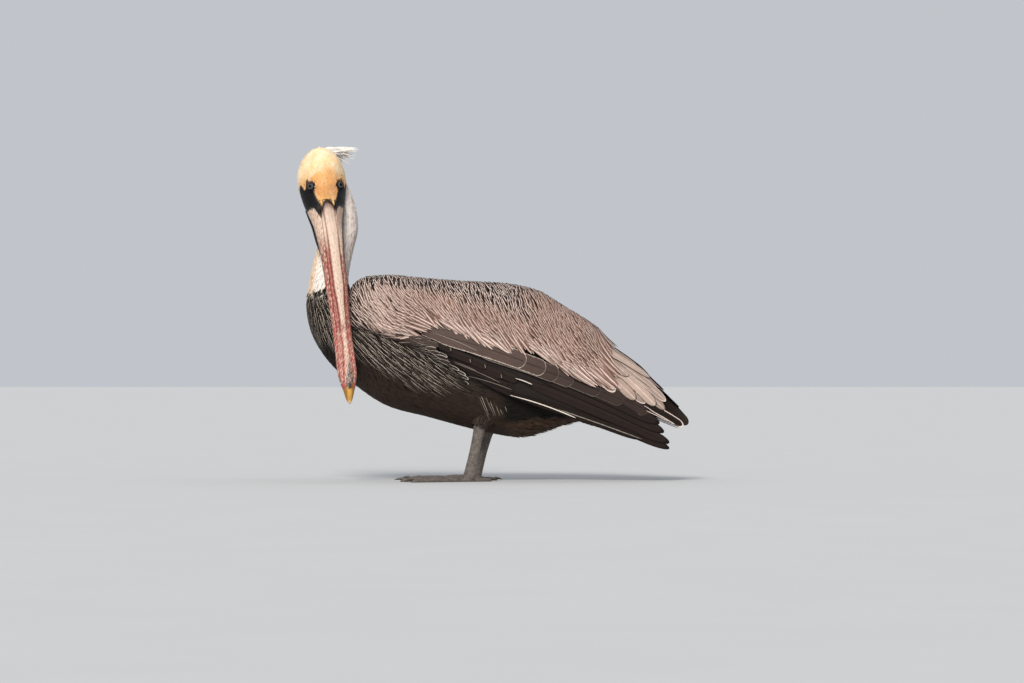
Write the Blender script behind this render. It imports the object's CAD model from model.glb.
"""The looks of a brown pelican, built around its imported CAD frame.

Shapes are worked out in millimetres in the bird's own axes (breast towards -X, tail towards +X,
its left side towards -Y, +Z up) and moved into the frame as each mesh is made.
"""

import math

import bpy
import numpy as np
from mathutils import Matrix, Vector


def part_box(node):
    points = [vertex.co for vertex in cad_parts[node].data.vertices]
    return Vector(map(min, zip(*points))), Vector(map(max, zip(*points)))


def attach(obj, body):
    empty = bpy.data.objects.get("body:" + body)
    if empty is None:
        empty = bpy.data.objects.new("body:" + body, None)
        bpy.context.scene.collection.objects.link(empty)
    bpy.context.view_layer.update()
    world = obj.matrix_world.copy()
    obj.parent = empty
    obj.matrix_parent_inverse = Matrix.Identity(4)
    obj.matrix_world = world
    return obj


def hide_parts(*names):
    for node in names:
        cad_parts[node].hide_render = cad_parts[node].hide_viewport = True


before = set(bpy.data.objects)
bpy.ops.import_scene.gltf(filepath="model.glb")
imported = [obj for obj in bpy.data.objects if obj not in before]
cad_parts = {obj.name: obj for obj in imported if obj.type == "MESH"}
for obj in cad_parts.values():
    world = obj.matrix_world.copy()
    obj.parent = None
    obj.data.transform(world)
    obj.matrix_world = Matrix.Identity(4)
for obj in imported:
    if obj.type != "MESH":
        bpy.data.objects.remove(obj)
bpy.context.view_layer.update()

MM = 0.001
RADIANS = math.pi / 180
UV_PATCH = 0.003
SIDES = {"left": -1, "right": 1}


# ---------- numbers ----------
class Curve:
    """A smooth curve through (place, value) knots that never overshoots them."""

    def __init__(self, *knots):
        self.x, self.y = np.array(knots, float).T
        rise = np.diff(self.y) / np.diff(self.x)
        before, after = rise[:-1], rise[1:]
        same = before * after > 0
        total = np.where(same, before + after, 1.0)
        self.slope = np.zeros(len(self.x))
        self.slope[1:-1] = np.where(same, 2 * before * after / total, 0.0)

    def __call__(self, place):
        place = np.clip(place, self.x[0], self.x[-1])
        i = np.clip(np.searchsorted(self.x, place, side="right") - 1, 0, len(self.x) - 2)
        width = self.x[i + 1] - self.x[i]
        t = (place - self.x[i]) / width
        step = t * t * (3 - 2 * t)
        bend = width * t * (1 - t) * ((1 - t) * self.slope[i] - t * self.slope[i + 1])
        return self.y[i] * (1 - step) + self.y[i + 1] * step + bend


def within(share):
    return np.clip(share, 0, 1)


def smooth(start, end, value):
    t = within((value - start) / (end - start))
    return t * t * (3 - 2 * t)


def unit(vectors):
    return vectors / np.maximum(np.linalg.norm(vectors, axis=-1, keepdims=True), 1e-9)


def through(points, t):
    """Catmull-Rom curve through points, at t counted in points."""
    points = np.asarray(points, float)
    last = len(points) - 1
    i = np.clip(np.floor(t).astype(int), 0, last - 1)
    part = (t - i)[..., None]
    before = points[np.maximum(i - 1, 0)]
    start, end = points[i], points[i + 1]
    after = points[np.minimum(i + 2, last)]
    bend = 2 * before - 5 * start + 4 * end - after
    twist = 3 * start - before - 3 * end + after
    return start + 0.5 * part * (end - before + part * (bend + part * twist))


def ripple(points, size, seed, grain=1):
    """Soft irregular waves over space, about -1 to 1, of roughly the given size; grain stretches them."""
    rng = np.random.default_rng(seed)
    points = points * grain
    total = 0
    for _ in range(5):
        way = unit(rng.normal(size=3)) * 2 * math.pi / (size * rng.uniform(0.6, 1.6))
        total = total + np.sin(points @ way + rng.uniform(0, 2 * math.pi))
    return total / 2.6


def colour(code):
    """Linear RGB of an sRGB hex code."""
    srgb = np.array([int(code[i:i + 2], 16) for i in (1, 3, 5)]) / 255
    return np.where(srgb <= 0.04045, srgb / 12.92, ((srgb + 0.055) / 1.055) ** 2.4)


def blend(one, other, share):
    share = np.asarray(share, float)[..., None]
    return one * (1 - share) + other * share


def paint(tint, *coats):
    """A tint under coats of (colour, share), the last one on top."""
    for top, share in coats:
        tint = blend(tint, top, share)
    return tint


def circle(count):
    """Angles once round, evenly spaced."""
    return np.linspace(0, 2 * math.pi, count, endpoint=False)


def grid(first, second):
    """Two measures at every crossing of a grid's rows and columns."""
    return np.meshgrid(first, second, indexing="ij")


# ---------- the bird's shape ----------
# Ribs from the tail root to the nape: back x, z, belly x, z, half width, lean, tilt in degrees.
RIBS = np.array([
    [236, 136, 232, 104, 14, 0, 0], [200, 158, 192, 98, 30, 0, 0],
    [150, 190, 148, 88, 48, 0, 0], [105, 216, 112, 76, 62, 0, 0],
    [60, 240, 70, 67, 76, 0, 0], [5, 260, 12, 77, 87, 0, 0],
    [-55, 276, -60, 96, 92, 0, 0], [-110, 287, -125, 114, 89, 0, 0],
    [-148, 287, -178, 149, 80, 0, 0], [-168, 282, -211, 179, 69, 0, 0],
    [-178, 281, -236, 219, 53, 0, 0], [-181, 292, -245, 262, 39, 0, 0],
    [-181, 312, -240, 306, 31, 1, -3], [-175, 345, -232, 344, 29, 6, -10],
    [-168, 376, -227, 376, 29, 14, -14], [-170, 404, -226, 408, 29, 22, -12],
    [-177, 430, -232, 436, 28, 24, 6], [-188, 451, -240, 457, 26, 18, 34],
    [-198, 462, -243, 466, 24, 4, 66], [-205, 466, -240, 468, 18, -14, 90],
], float)
TORSO_ROUND = 2.15
BACK = np.column_stack([RIBS[:, 0], RIBS[:, 5], RIBS[:, 1]])
BELLY = np.column_stack([RIBS[:, 2], RIBS[:, 5], RIBS[:, 3]])
rib_half = Curve(*enumerate(RIBS[:, 4]))
rib_tilt = Curve(*enumerate(RIBS[:, 6] * RADIANS))


def oval(angle, half, up, down, up_round, down_round):
    """Polar radius of a rounded outline whose upper and lower halves differ."""
    high = np.sin(angle) >= 0
    reach = np.where(high, up, down)
    power = np.where(high, up_round, down_round)
    wide = np.abs(np.cos(angle) / half) ** power
    tall = np.abs(np.sin(angle) / reach) ** power
    return (wide + tall) ** (-1 / power)


def torso(p, grow=0.0):
    """Trunk and neck: p is (rib, angle); angle 90 degrees is the back, 180 the left side."""
    t, angle = p[..., 0], p[..., 1]
    back, belly = through(BACK, t), through(BELLY, t)
    reach = np.linalg.norm(back - belly, axis=-1) / 2 + grow
    up = unit(back - belly)
    tilt = rib_tilt(t)
    across = np.stack([np.zeros_like(tilt), np.cos(tilt), np.sin(tilt)], -1)
    radius = oval(angle, rib_half(t) + grow, reach, reach, TORSO_ROUND, TORSO_ROUND)
    side = (radius * np.cos(angle))[..., None] * across
    return (back + belly) / 2 + side + (radius * np.sin(angle))[..., None] * up


# Head and bill, in the bill's own axes: along it from the forehead notch, up, and to the right.
NOTCH = np.array([-212, -46, 420.6])
BILL_PITCH, BILL_SLANT, HEAD_ROLL = 20 * RADIANS, 7.4 * RADIANS, 12 * RADIANS
head_half = Curve((-91, 3), (-88, 13), (-80, 24), (-66, 32.5), (-50, 36.5), (-36, 37), (-16, 33.5),
                  (4, 29.5), (38, 22), (89, 17.8), (130, 16.8), (170, 14.9), (216, 13.8), (270, 14.6),
                  (280, 13.9), (288, 12.4), (296, 9.9), (303, 7.6), (310, 5.6), (316, 3.4), (320, 1.2))
head_top = Curve((-91, -14), (-86, -5), (-72, 4), (-50, 8.5), (-26, 6.5), (0, 0), (120, -1), (240, -1),
                 (284, 1), (295, 0), (309, -4.5), (320, -12))
head_wide = Curve((-91, -18), (-80, -25), (-50, -31), (-10, -31), (10, -25), (60, -14), (150, -8),
                  (276, -5.5), (295, -5.5), (320, -13.5))
head_bottom = Curve((-91, -24), (-86, -42), (-74, -58), (-44, -65), (0, -58), (30, -50), (90, -35),
                    (160, -24), (230, -17), (282, -13), (295, -13), (309, -14.5), (320, -15))
head_top_round = Curve((-91, 2), (-40, 1.75), (0, 1.9), (40, 2.6), (276, 2.8), (320, 2))
head_low_round = Curve((-91, 2), (-40, 2.1), (40, 1.7), (200, 1.8), (320, 2))
POUCH_LINE = Curve((-90, -35), (0, -35), (320, -13.5))
POUCH_END = 158
NAIL_START = 292
BILL_LENGTH = 320
EYE_ALONG, EYE_ACROSS, EYE_UP, EYE_RADIUS = -25, 19.6, -9.4, 8.6


def head_axes():
    along = unit(np.array([math.tan(BILL_SLANT), -math.tan(BILL_PITCH), -1]))
    plain = np.array([0.0, -1, 0])
    plain = unit(plain - plain.dot(along) * along)
    up = plain * math.cos(HEAD_ROLL) - np.cross(along, plain) * math.sin(HEAD_ROLL)
    return np.stack([along, np.cross(along, up), up])


HEAD = head_axes()


def from_head(along, across, up):
    return NOTCH + np.stack(np.broadcast_arrays(along, across, up), -1) @ HEAD


def to_head(points):
    return (points - NOTCH) @ HEAD.T


def head_radius(s, angle, grow=0.0):
    wide = head_wide(s)
    return oval(angle, head_half(s) + grow, head_top(s) - wide + grow, wide - head_bottom(s) + grow,
                head_top_round(s), head_low_round(s))


def head_section(s, angle, grow=0.0):
    """Places across and up of the outline of head or bill at a place along it."""
    radius = head_radius(s, angle, grow)
    return radius * np.cos(angle), head_wide(s) + radius * np.sin(angle)


def head(p, grow=0.0):
    """Head and bill: p is (place along, angle); angle 0 is the bird's right, 90 the crown."""
    return from_head(p[..., 0], *head_section(p[..., 0], p[..., 1], grow))


def eye_centre(side):
    return from_head(EYE_ALONG, side * EYE_ACROSS, EYE_UP)


# Folded wings, outlined along X; the right hand lies higher, over the tail.
wing_top = Curve((-190, 250), (-180, 270), (-171, 291), (-153, 301.5), (-122, 303.5), (-69, 299), (-16, 295),
                 (50, 291.5), (97, 282), (135, 260), (180, 232), (213, 207), (255, 176), (285, 147),
                 (330, 112))
wing_half = Curve((-190, 52), (-178, 70), (-160, 86), (-122, 98), (-69, 106.5), (-16, 108), (45, 103),
                  (97, 95), (135, 87), (180, 77), (213, 69), (262, 57), (300, 47), (330, 39))
wing_wide = Curve((-190, 236), (-150, 232), (-100, 218), (0, 192), (100, 160), (180, 138), (262, 112),
                  (330, 84))
wing_edge = Curve((-190, 240), (-154, 229), (-97, 209), (-60, 192), (22, 144), (61, 126), (135, 102.6),
                  (160, 90), (195, 79), (262, 61), (300, 46), (330, 34))
silver_edge = Curve((-190, 228), (-154, 226), (-114, 213), (-78, 206), (-64, 208), (-53, 226), (-40, 227),
                    (3, 210), (54, 194), (115, 184), (135, 166), (162, 152), (180, 145), (213, 136),
                    (235, 130), (250, 121), (300, 90))
WING_TUCK, WING_ROUND, PARTING, RIGHT_LIFT = 0.1, 2.25, 0.35, 30
WING_FROM, WING_TO, WING_STEPS, WING_ARCS = -190, 330, 260, 96


def wing_lift(x, side):
    return RIGHT_LIFT * smooth(60, 280, x) if side > 0 else 0 * x


def wing_shape(x, side, grow=0.0):
    """A wing's top, half width, height of its widest line and of its lower edge at x."""
    top = wing_top(x) + grow
    wide = np.minimum(wing_wide(x) + wing_lift(x, side), top - 8)
    edge = np.minimum(wing_edge(x) + wing_lift(x, side), wide - 4)
    return top, wing_half(x) + grow, wide, edge


def wing_at(p, side):
    """The wing's outer surface at (x, z)."""
    x, z = p[..., 0], p[..., 1]
    top, half, wide, edge = wing_shape(x, side)
    over = np.clip((z - wide) / (top - wide), 0, 0.999)
    under = np.maximum((wide - z) / (wide - edge), 0)
    y = half * np.where(z > wide, (1 - over ** WING_ROUND) ** (1 / WING_ROUND), 1 - WING_TUCK * under ** 2)
    return np.stack([x, side * np.maximum(y, PARTING), z], -1)


def wing_section(x, side, grow):
    """Points of the wing's section at x, evenly spaced from the parting to the lower edge."""
    top, half, wide, edge = wing_shape(x, side, grow)
    angle = np.linspace(0, math.pi / 2, 120)
    over = np.stack([half * np.sin(angle) ** (2 / WING_ROUND),
                     wide + (top - wide) * np.cos(angle) ** (2 / WING_ROUND)], -1)
    down = np.linspace(0, 1, 40)[1:]
    under = np.stack([half * (1 - WING_TUCK * down ** 2), wide + (edge - wide) * down], -1)
    line = np.concatenate([over, under])
    run = run_of(line)
    even = np.linspace(0, run[-1], WING_ARCS + 1)
    y, z = np.interp(even, run, line[:, 0]), np.interp(even, run, line[:, 1])
    return np.stack([np.full_like(y, x), side * np.maximum(y, PARTING), z], -1)


def run_of(line):
    """Distance run along a line of points."""
    return np.concatenate([[0], np.cumsum(np.linalg.norm(np.diff(line, axis=0), axis=1))])


WING_XS = np.linspace(WING_FROM, WING_TO, WING_STEPS + 1)
WING_GRIDS = {side: np.stack([wing_section(x, side, 0.0) for x in WING_XS]) for side in SIDES.values()}


def wing(p, side):
    """The wing's outer surface: p is (x, share of the way from parting to lower edge)."""
    net = WING_GRIDS[side]
    i = within((p[..., 0] - WING_FROM) / (WING_TO - WING_FROM)) * WING_STEPS
    j = within(p[..., 1]) * WING_ARCS
    i0 = np.minimum(i.astype(int), WING_STEPS - 1)
    j0 = np.minimum(j.astype(int), WING_ARCS - 1)
    a, b = (i - i0)[..., None], (j - j0)[..., None]
    near = net[i0, j0] * (1 - b) + net[i0, j0 + 1] * b
    far = net[i0 + 1, j0] * (1 - b) + net[i0 + 1, j0 + 1] * b
    return near * (1 - a) + far * a


# Legs: hip, knee, hock and ankle of each side.
LEGS = {
    "left": np.array([[42, -52, 150], [30, -50, 118], [15, -44, 83], [-1, -46, 12]], float),
    "right": np.array([[50, 52, 150], [40, 50, 112], [27, 43, 76], [7, 46, 12]], float),
}
thigh_deep = Curve((0, 21), (0.15, 36), (0.4, 30), (0.65, 21.6), (0.85, 17.2), (1, 14))
thigh_wide = Curve((0, 14), (0.15, 24), (0.4, 24), (0.65, 18), (0.85, 13.5), (1, 12))
# Toes: heading in degrees from straight ahead to the outer side, length, height.
TOES = {"inner": (-20, 74, 8.6), "middle": (5, 103, 9.6), "outer": (29, 98, 8.8), "hind": (-152, 38, 7.6)}
TOE_WIDTH = 9.5
CLAW_LENGTH = 13


def thigh(p, hand, grow=0.0):
    t, angle = p[..., 0], p[..., 1]
    middle = through(LEGS[hand][:3], 2 * t)
    ahead = through(LEGS[hand][:3], 2 * t + 0.02) - through(LEGS[hand][:3], 2 * t - 0.02)
    out = np.array([0.0, 1, 0])
    fore = unit(np.cross(out, ahead))
    wide, deep = thigh_wide(t) + grow, thigh_deep(t) + grow
    return middle + (wide * np.cos(angle))[..., None] * out + (deep * np.sin(angle))[..., None] * fore


# ---------- meshes ----------
EYE_BOX = np.array([list(corner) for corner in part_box("eye_left")]) / MM
SHIFT = EYE_BOX.mean(0) - eye_centre(SIDES["left"])


def in_frame(points):
    """Points in the bird's own axes, as metres in the frame."""
    return (points + SHIFT) * MM


def add_to_scene(name, data):
    thing = bpy.data.objects.new(name, data)
    bpy.context.scene.collection.objects.link(thing)
    return thing


def make_mesh(name, points, quads, tris=None, caps=()):
    """A mesh object from points in millimetres, arrays of quads and triangles, and end caps."""
    tris = np.zeros((0, 3), int) if tris is None else tris
    groups = [quads.reshape(-1, 4), tris.reshape(-1, 3), *[np.asarray(cap) for cap in caps]]
    groups = [group for group in groups if len(group)]
    loops = np.concatenate([group.ravel() for group in groups])
    sizes = np.concatenate([np.full(len(group), group.shape[1]) for group in groups])
    starts = np.concatenate([[0], np.cumsum(sizes)[:-1]])
    mesh = bpy.data.meshes.new(name)
    mesh.vertices.add(len(points))
    mesh.vertices.foreach_set("co", in_frame(points).astype(np.float32).ravel())
    mesh.loops.add(len(loops))
    mesh.loops.foreach_set("vertex_index", loops.astype(np.int32))
    mesh.polygons.add(len(starts))
    mesh.polygons.foreach_set("loop_start", starts.astype(np.int32))
    mesh.update(calc_edges=True)
    mesh.shade_smooth()
    return add_to_scene(name, mesh)


def give_colour(thing, name, values):
    """A colour attribute on the points of a mesh, from RGB or RGBA rows."""
    if values.shape[1] == 3:
        values = np.column_stack([values, np.ones(len(values))])
    layer = thing.data.color_attributes.new(name, "FLOAT_COLOR", "POINT")
    layer.data.foreach_set("color", values.astype(np.float32).ravel())


def give_uv(thing, name, values):
    """A UV map from one pair a point."""
    layer = thing.data.uv_layers.new(name=name)
    index = np.zeros(len(thing.data.loops), np.int32)
    thing.data.loops.foreach_get("vertex_index", index)
    layer.data.foreach_set("uv", values[index].astype(np.float32).ravel())


def points_of(thing):
    flat = np.zeros(len(thing.data.vertices) * 3, np.float32)
    thing.data.vertices.foreach_get("co", flat)
    return flat.reshape(-1, 3) / MM - SHIFT


def set_points(thing, points):
    thing.data.vertices.foreach_set("co", in_frame(points).astype(np.float32).ravel())
    thing.data.update()


def loft(name, rings):
    """A closed mesh through rings of equal count."""
    count, sides = rings.shape[:2]
    index = np.arange(count * sides).reshape(count, sides)
    beside = np.roll(index, -1, axis=1)
    quads = np.stack([index[:-1], beside[:-1], beside[1:], index[1:]], -1)
    return make_mesh(name, rings.reshape(-1, 3), quads.reshape(-1, 4), caps=[index[:1, ::-1], index[-1:]])


def select(*things):
    bpy.ops.object.select_all(action="DESELECT")
    for thing in things:
        thing.select_set(True)
    bpy.context.view_layer.objects.active = things[0]


def join(things, name):
    """Several objects as one."""
    select(*things)
    bpy.ops.object.join()
    things[0].name = name
    things[0].data.name = name
    return things[0]


def remesh(thing, voxel, rounds):
    """One even skin over everything in a mesh, smoothed."""
    select(thing)
    outward()
    modify(thing, "REMESH", mode="VOXEL", voxel_size=voxel * MM, use_smooth_shade=True)
    modify(thing, "SMOOTH", factor=0.5, iterations=rounds)
    return thing


def modify(thing, kind, **settings):
    step = thing.modifiers.new(kind, kind)
    for key, value in settings.items():
        setattr(step, key, value)
    bpy.ops.object.modifier_apply(modifier=step.name)


def outward():
    """Turns every face of the active object outward."""
    bpy.ops.object.mode_set(mode="EDIT")
    bpy.ops.mesh.select_all(action="SELECT")
    bpy.ops.mesh.normals_make_consistent(inside=False)
    bpy.ops.object.mode_set(mode="OBJECT")


def sweep(surface, starts, ends, rows, sides, **options):
    """Rings of a surface of (place, angle), between two places."""
    return surface(np.stack(grid(np.linspace(starts, ends, rows), circle(sides)), -1), **options)


def finish_piece(thing, material, nodes=()):
    """Material, slot, body and the CAD nodes that a piece stands for."""
    thing.data.materials.clear()
    thing.data.materials.append(material)
    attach(thing, "root")
    if nodes:
        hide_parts(*nodes)


# ---------- materials ----------
class Shader:
    """A node material built step by step around one Principled shader."""

    def __init__(self, name, roughness, **constants):
        self.material = bpy.data.materials.new(name)
        self.material.use_nodes = True
        self.tree = self.material.node_tree
        self.surface = self.tree.nodes["Principled BSDF"]
        self.surface.inputs["Roughness"].default_value = roughness
        for socket, value in constants.items():
            self.surface.inputs[socket.replace("_", " ")].default_value = value

    def node(self, kind, inputs=(), **settings):
        """A new node's output sockets."""
        node = self.tree.nodes.new(kind)
        for key, value in settings.items():
            setattr(node, key, value)
        for socket, value in dict(inputs).items():
            self.put(node.inputs[socket], value)
        return node.outputs

    def put(self, socket, value):
        if isinstance(value, bpy.types.NodeSocket):
            self.tree.links.new(value, socket)
        else:
            socket.default_value = value

    def math(self, operation, *values, clamp=False):
        return self.node("ShaderNodeMath", enumerate(values), operation=operation, use_clamp=clamp)[0]

    def times(self, one, other):
        return self.math("MULTIPLY", one, other)

    def line(self, value, factor, start):
        return self.math("MULTIPLY_ADD", value, factor, start)

    def rest(self, share):
        return self.math("SUBTRACT", 1.0, share)

    def ramp(self, value, low, high, to_low=0.0, to_high=1.0):
        inputs = {"Value": value, "From Min": low, "From Max": high, "To Min": to_low, "To Max": to_high}
        return self.node("ShaderNodeMapRange", inputs, interpolation_type="SMOOTHSTEP")[0]

    def mix(self, share, one, other, mode="MIX"):
        inputs = {0: share, 6: one, 7: other}
        return self.node("ShaderNodeMix", inputs, data_type="RGBA", blend_type=mode)[2]

    def attribute(self, name):
        return self.node("ShaderNodeAttribute", attribute_name=name)[0]

    def where(self):
        """Object coordinates."""
        return self.node("ShaderNodeTexCoord")[3]

    def stretched(self, vector, scale):
        return self.node("ShaderNodeMapping", {"Vector": vector, "Scale": scale})[0]

    def noise(self, scale, detail=3.0, roughness=0.55, vector=None):
        inputs = {"Scale": scale, "Detail": detail, "Roughness": roughness,
                  "Vector": self.where() if vector is None else vector}
        return self.node("ShaderNodeTexNoise", inputs)[0]

    def cells(self, scale, vector, **settings):
        return self.node("ShaderNodeTexVoronoi", {"Vector": vector, "Scale": scale}, **settings)[0]

    def bump(self, height, strength, distance, **under):
        inputs = {"Height": height, "Strength": strength, "Distance": distance, **under}
        return self.node("ShaderNodeBump", inputs)[0]

    def shade(self, tint, tone):
        """A colour times a tone, both sockets."""
        grey = self.node("ShaderNodeCombineColor", {0: tone, 1: tone, 2: tone})[0]
        return self.mix(1.0, tint, grey, mode="MULTIPLY")

    def finish(self, tint, **sockets):
        self.put(self.surface.inputs["Base Color"], tint)
        for name, value in sockets.items():
            self.put(self.surface.inputs[name], value)
        return self.material


BARB_PITCH = 1.1


def feather_material(name, roughness, sheen, fibre):
    """Vanes: a middle streak, a field and a rim in the colours each feather carries, and barbs."""
    shader = Shader(name, roughness, Sheen_Weight=sheen, Sheen_Roughness=0.5, Specular_IOR_Level=0.12)
    u, v = shader.node("ShaderNodeSeparateXYZ", {0: shader.node("ShaderNodeUVMap", uv_map="vane")[0]})[:2]
    streak_width, rim_width, tip = shader.node("ShaderNodeSeparateColor", {0: shader.attribute("plan")})[:3]
    length = shader.node("ShaderNodeAttribute", attribute_name="plan")[3]
    across = shader.math("ABSOLUTE", shader.line(u, 2.0, -1.0))
    ragged = shader.noise(420.0, 3.0, 0.6)
    frayed = shader.math("ADD", across, shader.line(ragged, 0.24, -0.12))
    streak = shader.rest(shader.ramp(shader.math("SUBTRACT", frayed, streak_width), -0.08, 0.08))
    past = shader.math("SUBTRACT", shader.math("ADD", v, tip), 1.0)
    past = shader.math("DIVIDE", past, shader.math("MAXIMUM", tip, 0.001), clamp=True)
    past = shader.times(past, past)
    beside = shader.times(shader.times(frayed, frayed), shader.rest(past))
    outermost = shader.math("SQRT", shader.math("ADD", beside, past))
    rim = shader.ramp(shader.math("ADD", outermost, rim_width), 0.94, 1.08)
    tint = shader.mix(rim, shader.attribute("field"), shader.attribute("rim"))
    tint = shader.mix(streak, tint, shader.attribute("streak"))
    run = shader.times(v, shader.times(length, 100 / BARB_PITCH))
    barb = shader.math("SINE", shader.times(shader.line(across, -3.2, run), 2 * math.pi))
    lengthwise = shader.node("ShaderNodeCombineXYZ", {0: shader.times(u, 14.0), 1: run})[0]
    strands = shader.noise(1.0, 2.0, 0.6, shader.stretched(lengthwise, (1.0, 0.03, 1.0)))
    tone = shader.line(barb, 0.05, shader.line(shader.noise(95.0, 2.0, 0.5), 0.3, 0.85))
    tone = shader.times(tone, shader.line(strands, 2 * fibre, 1.0 - fibre))
    quill = shader.rest(shader.ramp(across, 0.0, 0.1))
    height = shader.line(quill, 0.8, shader.times(barb, 0.35))
    return shader.finish(shader.shade(tint, tone), Normal=shader.bump(height, 0.35, 0.0004),
                         Roughness=shader.line(ragged, 0.2, roughness - 0.1))


def skin_material():
    """Skin under the coat and bare on the face, with the coat's own markings."""
    shader = Shader("skin", 0.55, Specular_IOR_Level=0.2)
    pores = shader.cells(620.0, shader.where())
    folds = shader.noise(260.0, 4.0, 0.6)
    tone = shader.line(shader.noise(60.0, 3.0, 0.6), 0.5, 0.75)
    tone = shader.times(tone, shader.ramp(pores, 0.0, 0.55, 1.12, 0.85))
    normal = shader.bump(pores, -0.45, 0.0005, Normal=shader.bump(folds, 0.4, 0.0006))
    return shader.finish(shader.shade(shader.attribute("field"), tone), Normal=normal,
                         Roughness=shader.ramp(folds, 0.3, 0.7, 0.4, 0.6))


def scale_material():
    """Legs, feet: small plates with pale dust in the seams."""
    shader = Shader("leg_skin", 0.5, Specular_IOR_Level=0.35)
    where = shader.stretched(shader.where(), (1.0, 1.0, 1.6))
    plate = shader.ramp(shader.cells(430.0, where, feature="DISTANCE_TO_EDGE"), 0.0, 0.14)
    tone = shader.line(shader.noise(70.0, 4.0, 0.6), 0.8, 0.32)
    tone = shader.times(tone, shader.ramp(shader.noise(330.0, 3.0, 0.7), 0.36, 0.64, 0.62, 1.6))
    tint = shader.shade(shader.attribute("field"), tone)
    tint = shader.mix(shader.line(plate, -0.5, 0.5), tint, (*SEAM_DUST, 1))
    normal = shader.bump(shader.noise(900.0, 3.0), 0.2, 0.0003, Normal=shader.bump(plate, 0.6, 0.0005))
    return shader.finish(tint, Roughness=shader.ramp(plate, 0.0, 1.0, 0.7, 0.48), Normal=normal)


def horn_material(name, roughness, fleck):
    """Bill and claws: the horn's own colours with fine flecks, scratches and growth lines."""
    shader = Shader(name, roughness, Specular_IOR_Level=0.3, Coat_Weight=0.06, Coat_Roughness=0.3)
    fine = shader.noise(900.0, 4.0, 0.65)
    long = shader.noise(300.0, 3.0, 0.6, shader.stretched(shader.where(), (1.0, 1.0, 0.18)))
    tone = shader.line(fine, fleck, 1.0 - fleck / 2)
    tone = shader.times(tone, shader.line(shader.noise(160.0, 4.0, 0.6), 0.34, 0.83))
    normal = shader.bump(fine, 0.25, 0.0003, Normal=shader.bump(long, 0.35, 0.0005))
    return shader.finish(shader.shade(shader.attribute("field"), tone), Normal=normal,
                         Roughness=shader.ramp(long, 0.3, 0.7, roughness - 0.12, roughness + 0.14))


def eye_material():
    """A wet eye: the iris colours with fine spokes under a clear coat."""
    shader = Shader("eye", 0.3, Specular_IOR_Level=0.06, Coat_Weight=0.08, Coat_Roughness=0.02)
    tone = shader.line(shader.noise(1500.0, 3.0, 0.6), 0.5, 0.75)
    return shader.finish(shader.shade(shader.attribute("field"), tone))


# ---------- markings, shared by skin and coat ----------
CREAM, STRAW, GOLD, DASH = colour("#f6dfbf"), colour("#f3d49f"), colour("#f3b975"), colour("#c98438")
CREST = colour("#f6efe6")
WHITE, PINKISH = colour("#f1e8df"), colour("#dcccc4")
BREAST, BREAST_STREAK = colour("#17120f"), colour("#c3b4a5")
BELLY_BROWN, VENT = colour("#32261f"), colour("#13100d")
VENT_BROWN = colour("#413126")
SILVER, SILVER_PALE, SILVER_DARK = colour("#947568"), colour("#ddc8be"), colour("#261e1b")
FACE, FACE_PINK = colour("#0d0c0f"), colour("#5d4240")
LEG, SEAM_DUST = colour("#5e5652"), colour("#968b80")
THIGH, FLANK, FLANK_DARK = colour("#2c231e"), colour("#a9a797"), colour("#4b443b")
bare_front = Curve((-42, 60), (-39, 48), (-24, 36), (-18, 33.5), (-3, 27), (8.5, 19), (14, 0))
bare_back = Curve((0, -1.2), (5, 1.0), (10, 4.2), (18, 9.5), (22, 4), (30, -30), (36, -34), (48, -39),
                  (55, -34), (63, -25), (69, -30), (76, -36), (90, -30), (120, -12), (150, 2), (180, 10))
gold_reach = Curve((-60, 4), (-48, 11), (-38, 18), (-29, 44))
NECK_EDGE = 11.5
streak_floor = Curve((-245, 220), (-205, 208), (-172, 194), (-135, 171), (-90, 149), (-45, 140), (0, 134))


def face_angle(s, across, up):
    """Degrees round the head from the crown (0) to the throat (180)."""
    return np.degrees(np.arctan2(np.abs(across), up - head_wide(s)))


def bareness(points):
    """How far inside the bare skin of the face, in millimetres along the bill; below 0 is feathered."""
    s, across, up = to_head(points).T
    around = face_angle(s, across, up)
    ahead = s - bare_back(around)
    outside = (around - bare_front(s)) * 0.45
    lids = 10.8 - from_eye(s, across, up)
    return np.maximum(np.minimum(ahead, outside), lids)


def head_tint(points):
    """Cream crown, straw and gold forehead and cheeks, white nape."""
    s, across, up = to_head(points).T
    side = np.abs(across)
    reach = gold_reach(s)
    gold = smooth(-52, -36, s) * smooth(reach + 5, reach - 5, side)
    gold = np.maximum(gold, 0.5 * smooth(-46, -34, s) * smooth(18, 27, side))
    return paint(CREAM, (STRAW, 0.5 + 0.5 * ripple(points, 14, 3)),
                 (GOLD, within(gold * (0.9 + 0.25 * ripple(points, 5, 4)))),
                 (WHITE, smooth(-22, -40, up)))


def torso_tint(points, rib, angle):
    """Field colour of the neck, breast and belly."""
    neck = smooth(NECK_EDGE - 0.25, NECK_EDGE + 0.25, rib + 0.2 * ripple(points, 9, 5))
    under = np.sin(angle)
    x, z = points[:, 0], points[:, 2]
    dark = paint(BREAST, (BELLY_BROWN, smooth(0.0, -0.8, under) * smooth(10, 7.5, rib)),
                 (VENT, smooth(22, 40, x) * smooth(86, 96, z)),
                 (VENT_BROWN, smooth(25, 50, x) * smooth(96, 86, z)),
                 (SILVER * 0.6, smooth(100, 140, x) * smooth(0.0, 0.4, under)))
    pale = paint(WHITE, (PINKISH, smooth(0.2, 0.9, under) * 0.6),
                 (blend(STRAW, GOLD, 0.5), smooth(-0.6, -0.95, under) * smooth(14.6, 12.2, rib) * 0.8),
                 (STRAW, smooth(16.6, 17.2, rib) * smooth(0.6, -0.1, under) * 0.6))
    return blend(dark, pale, neck)


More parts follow.
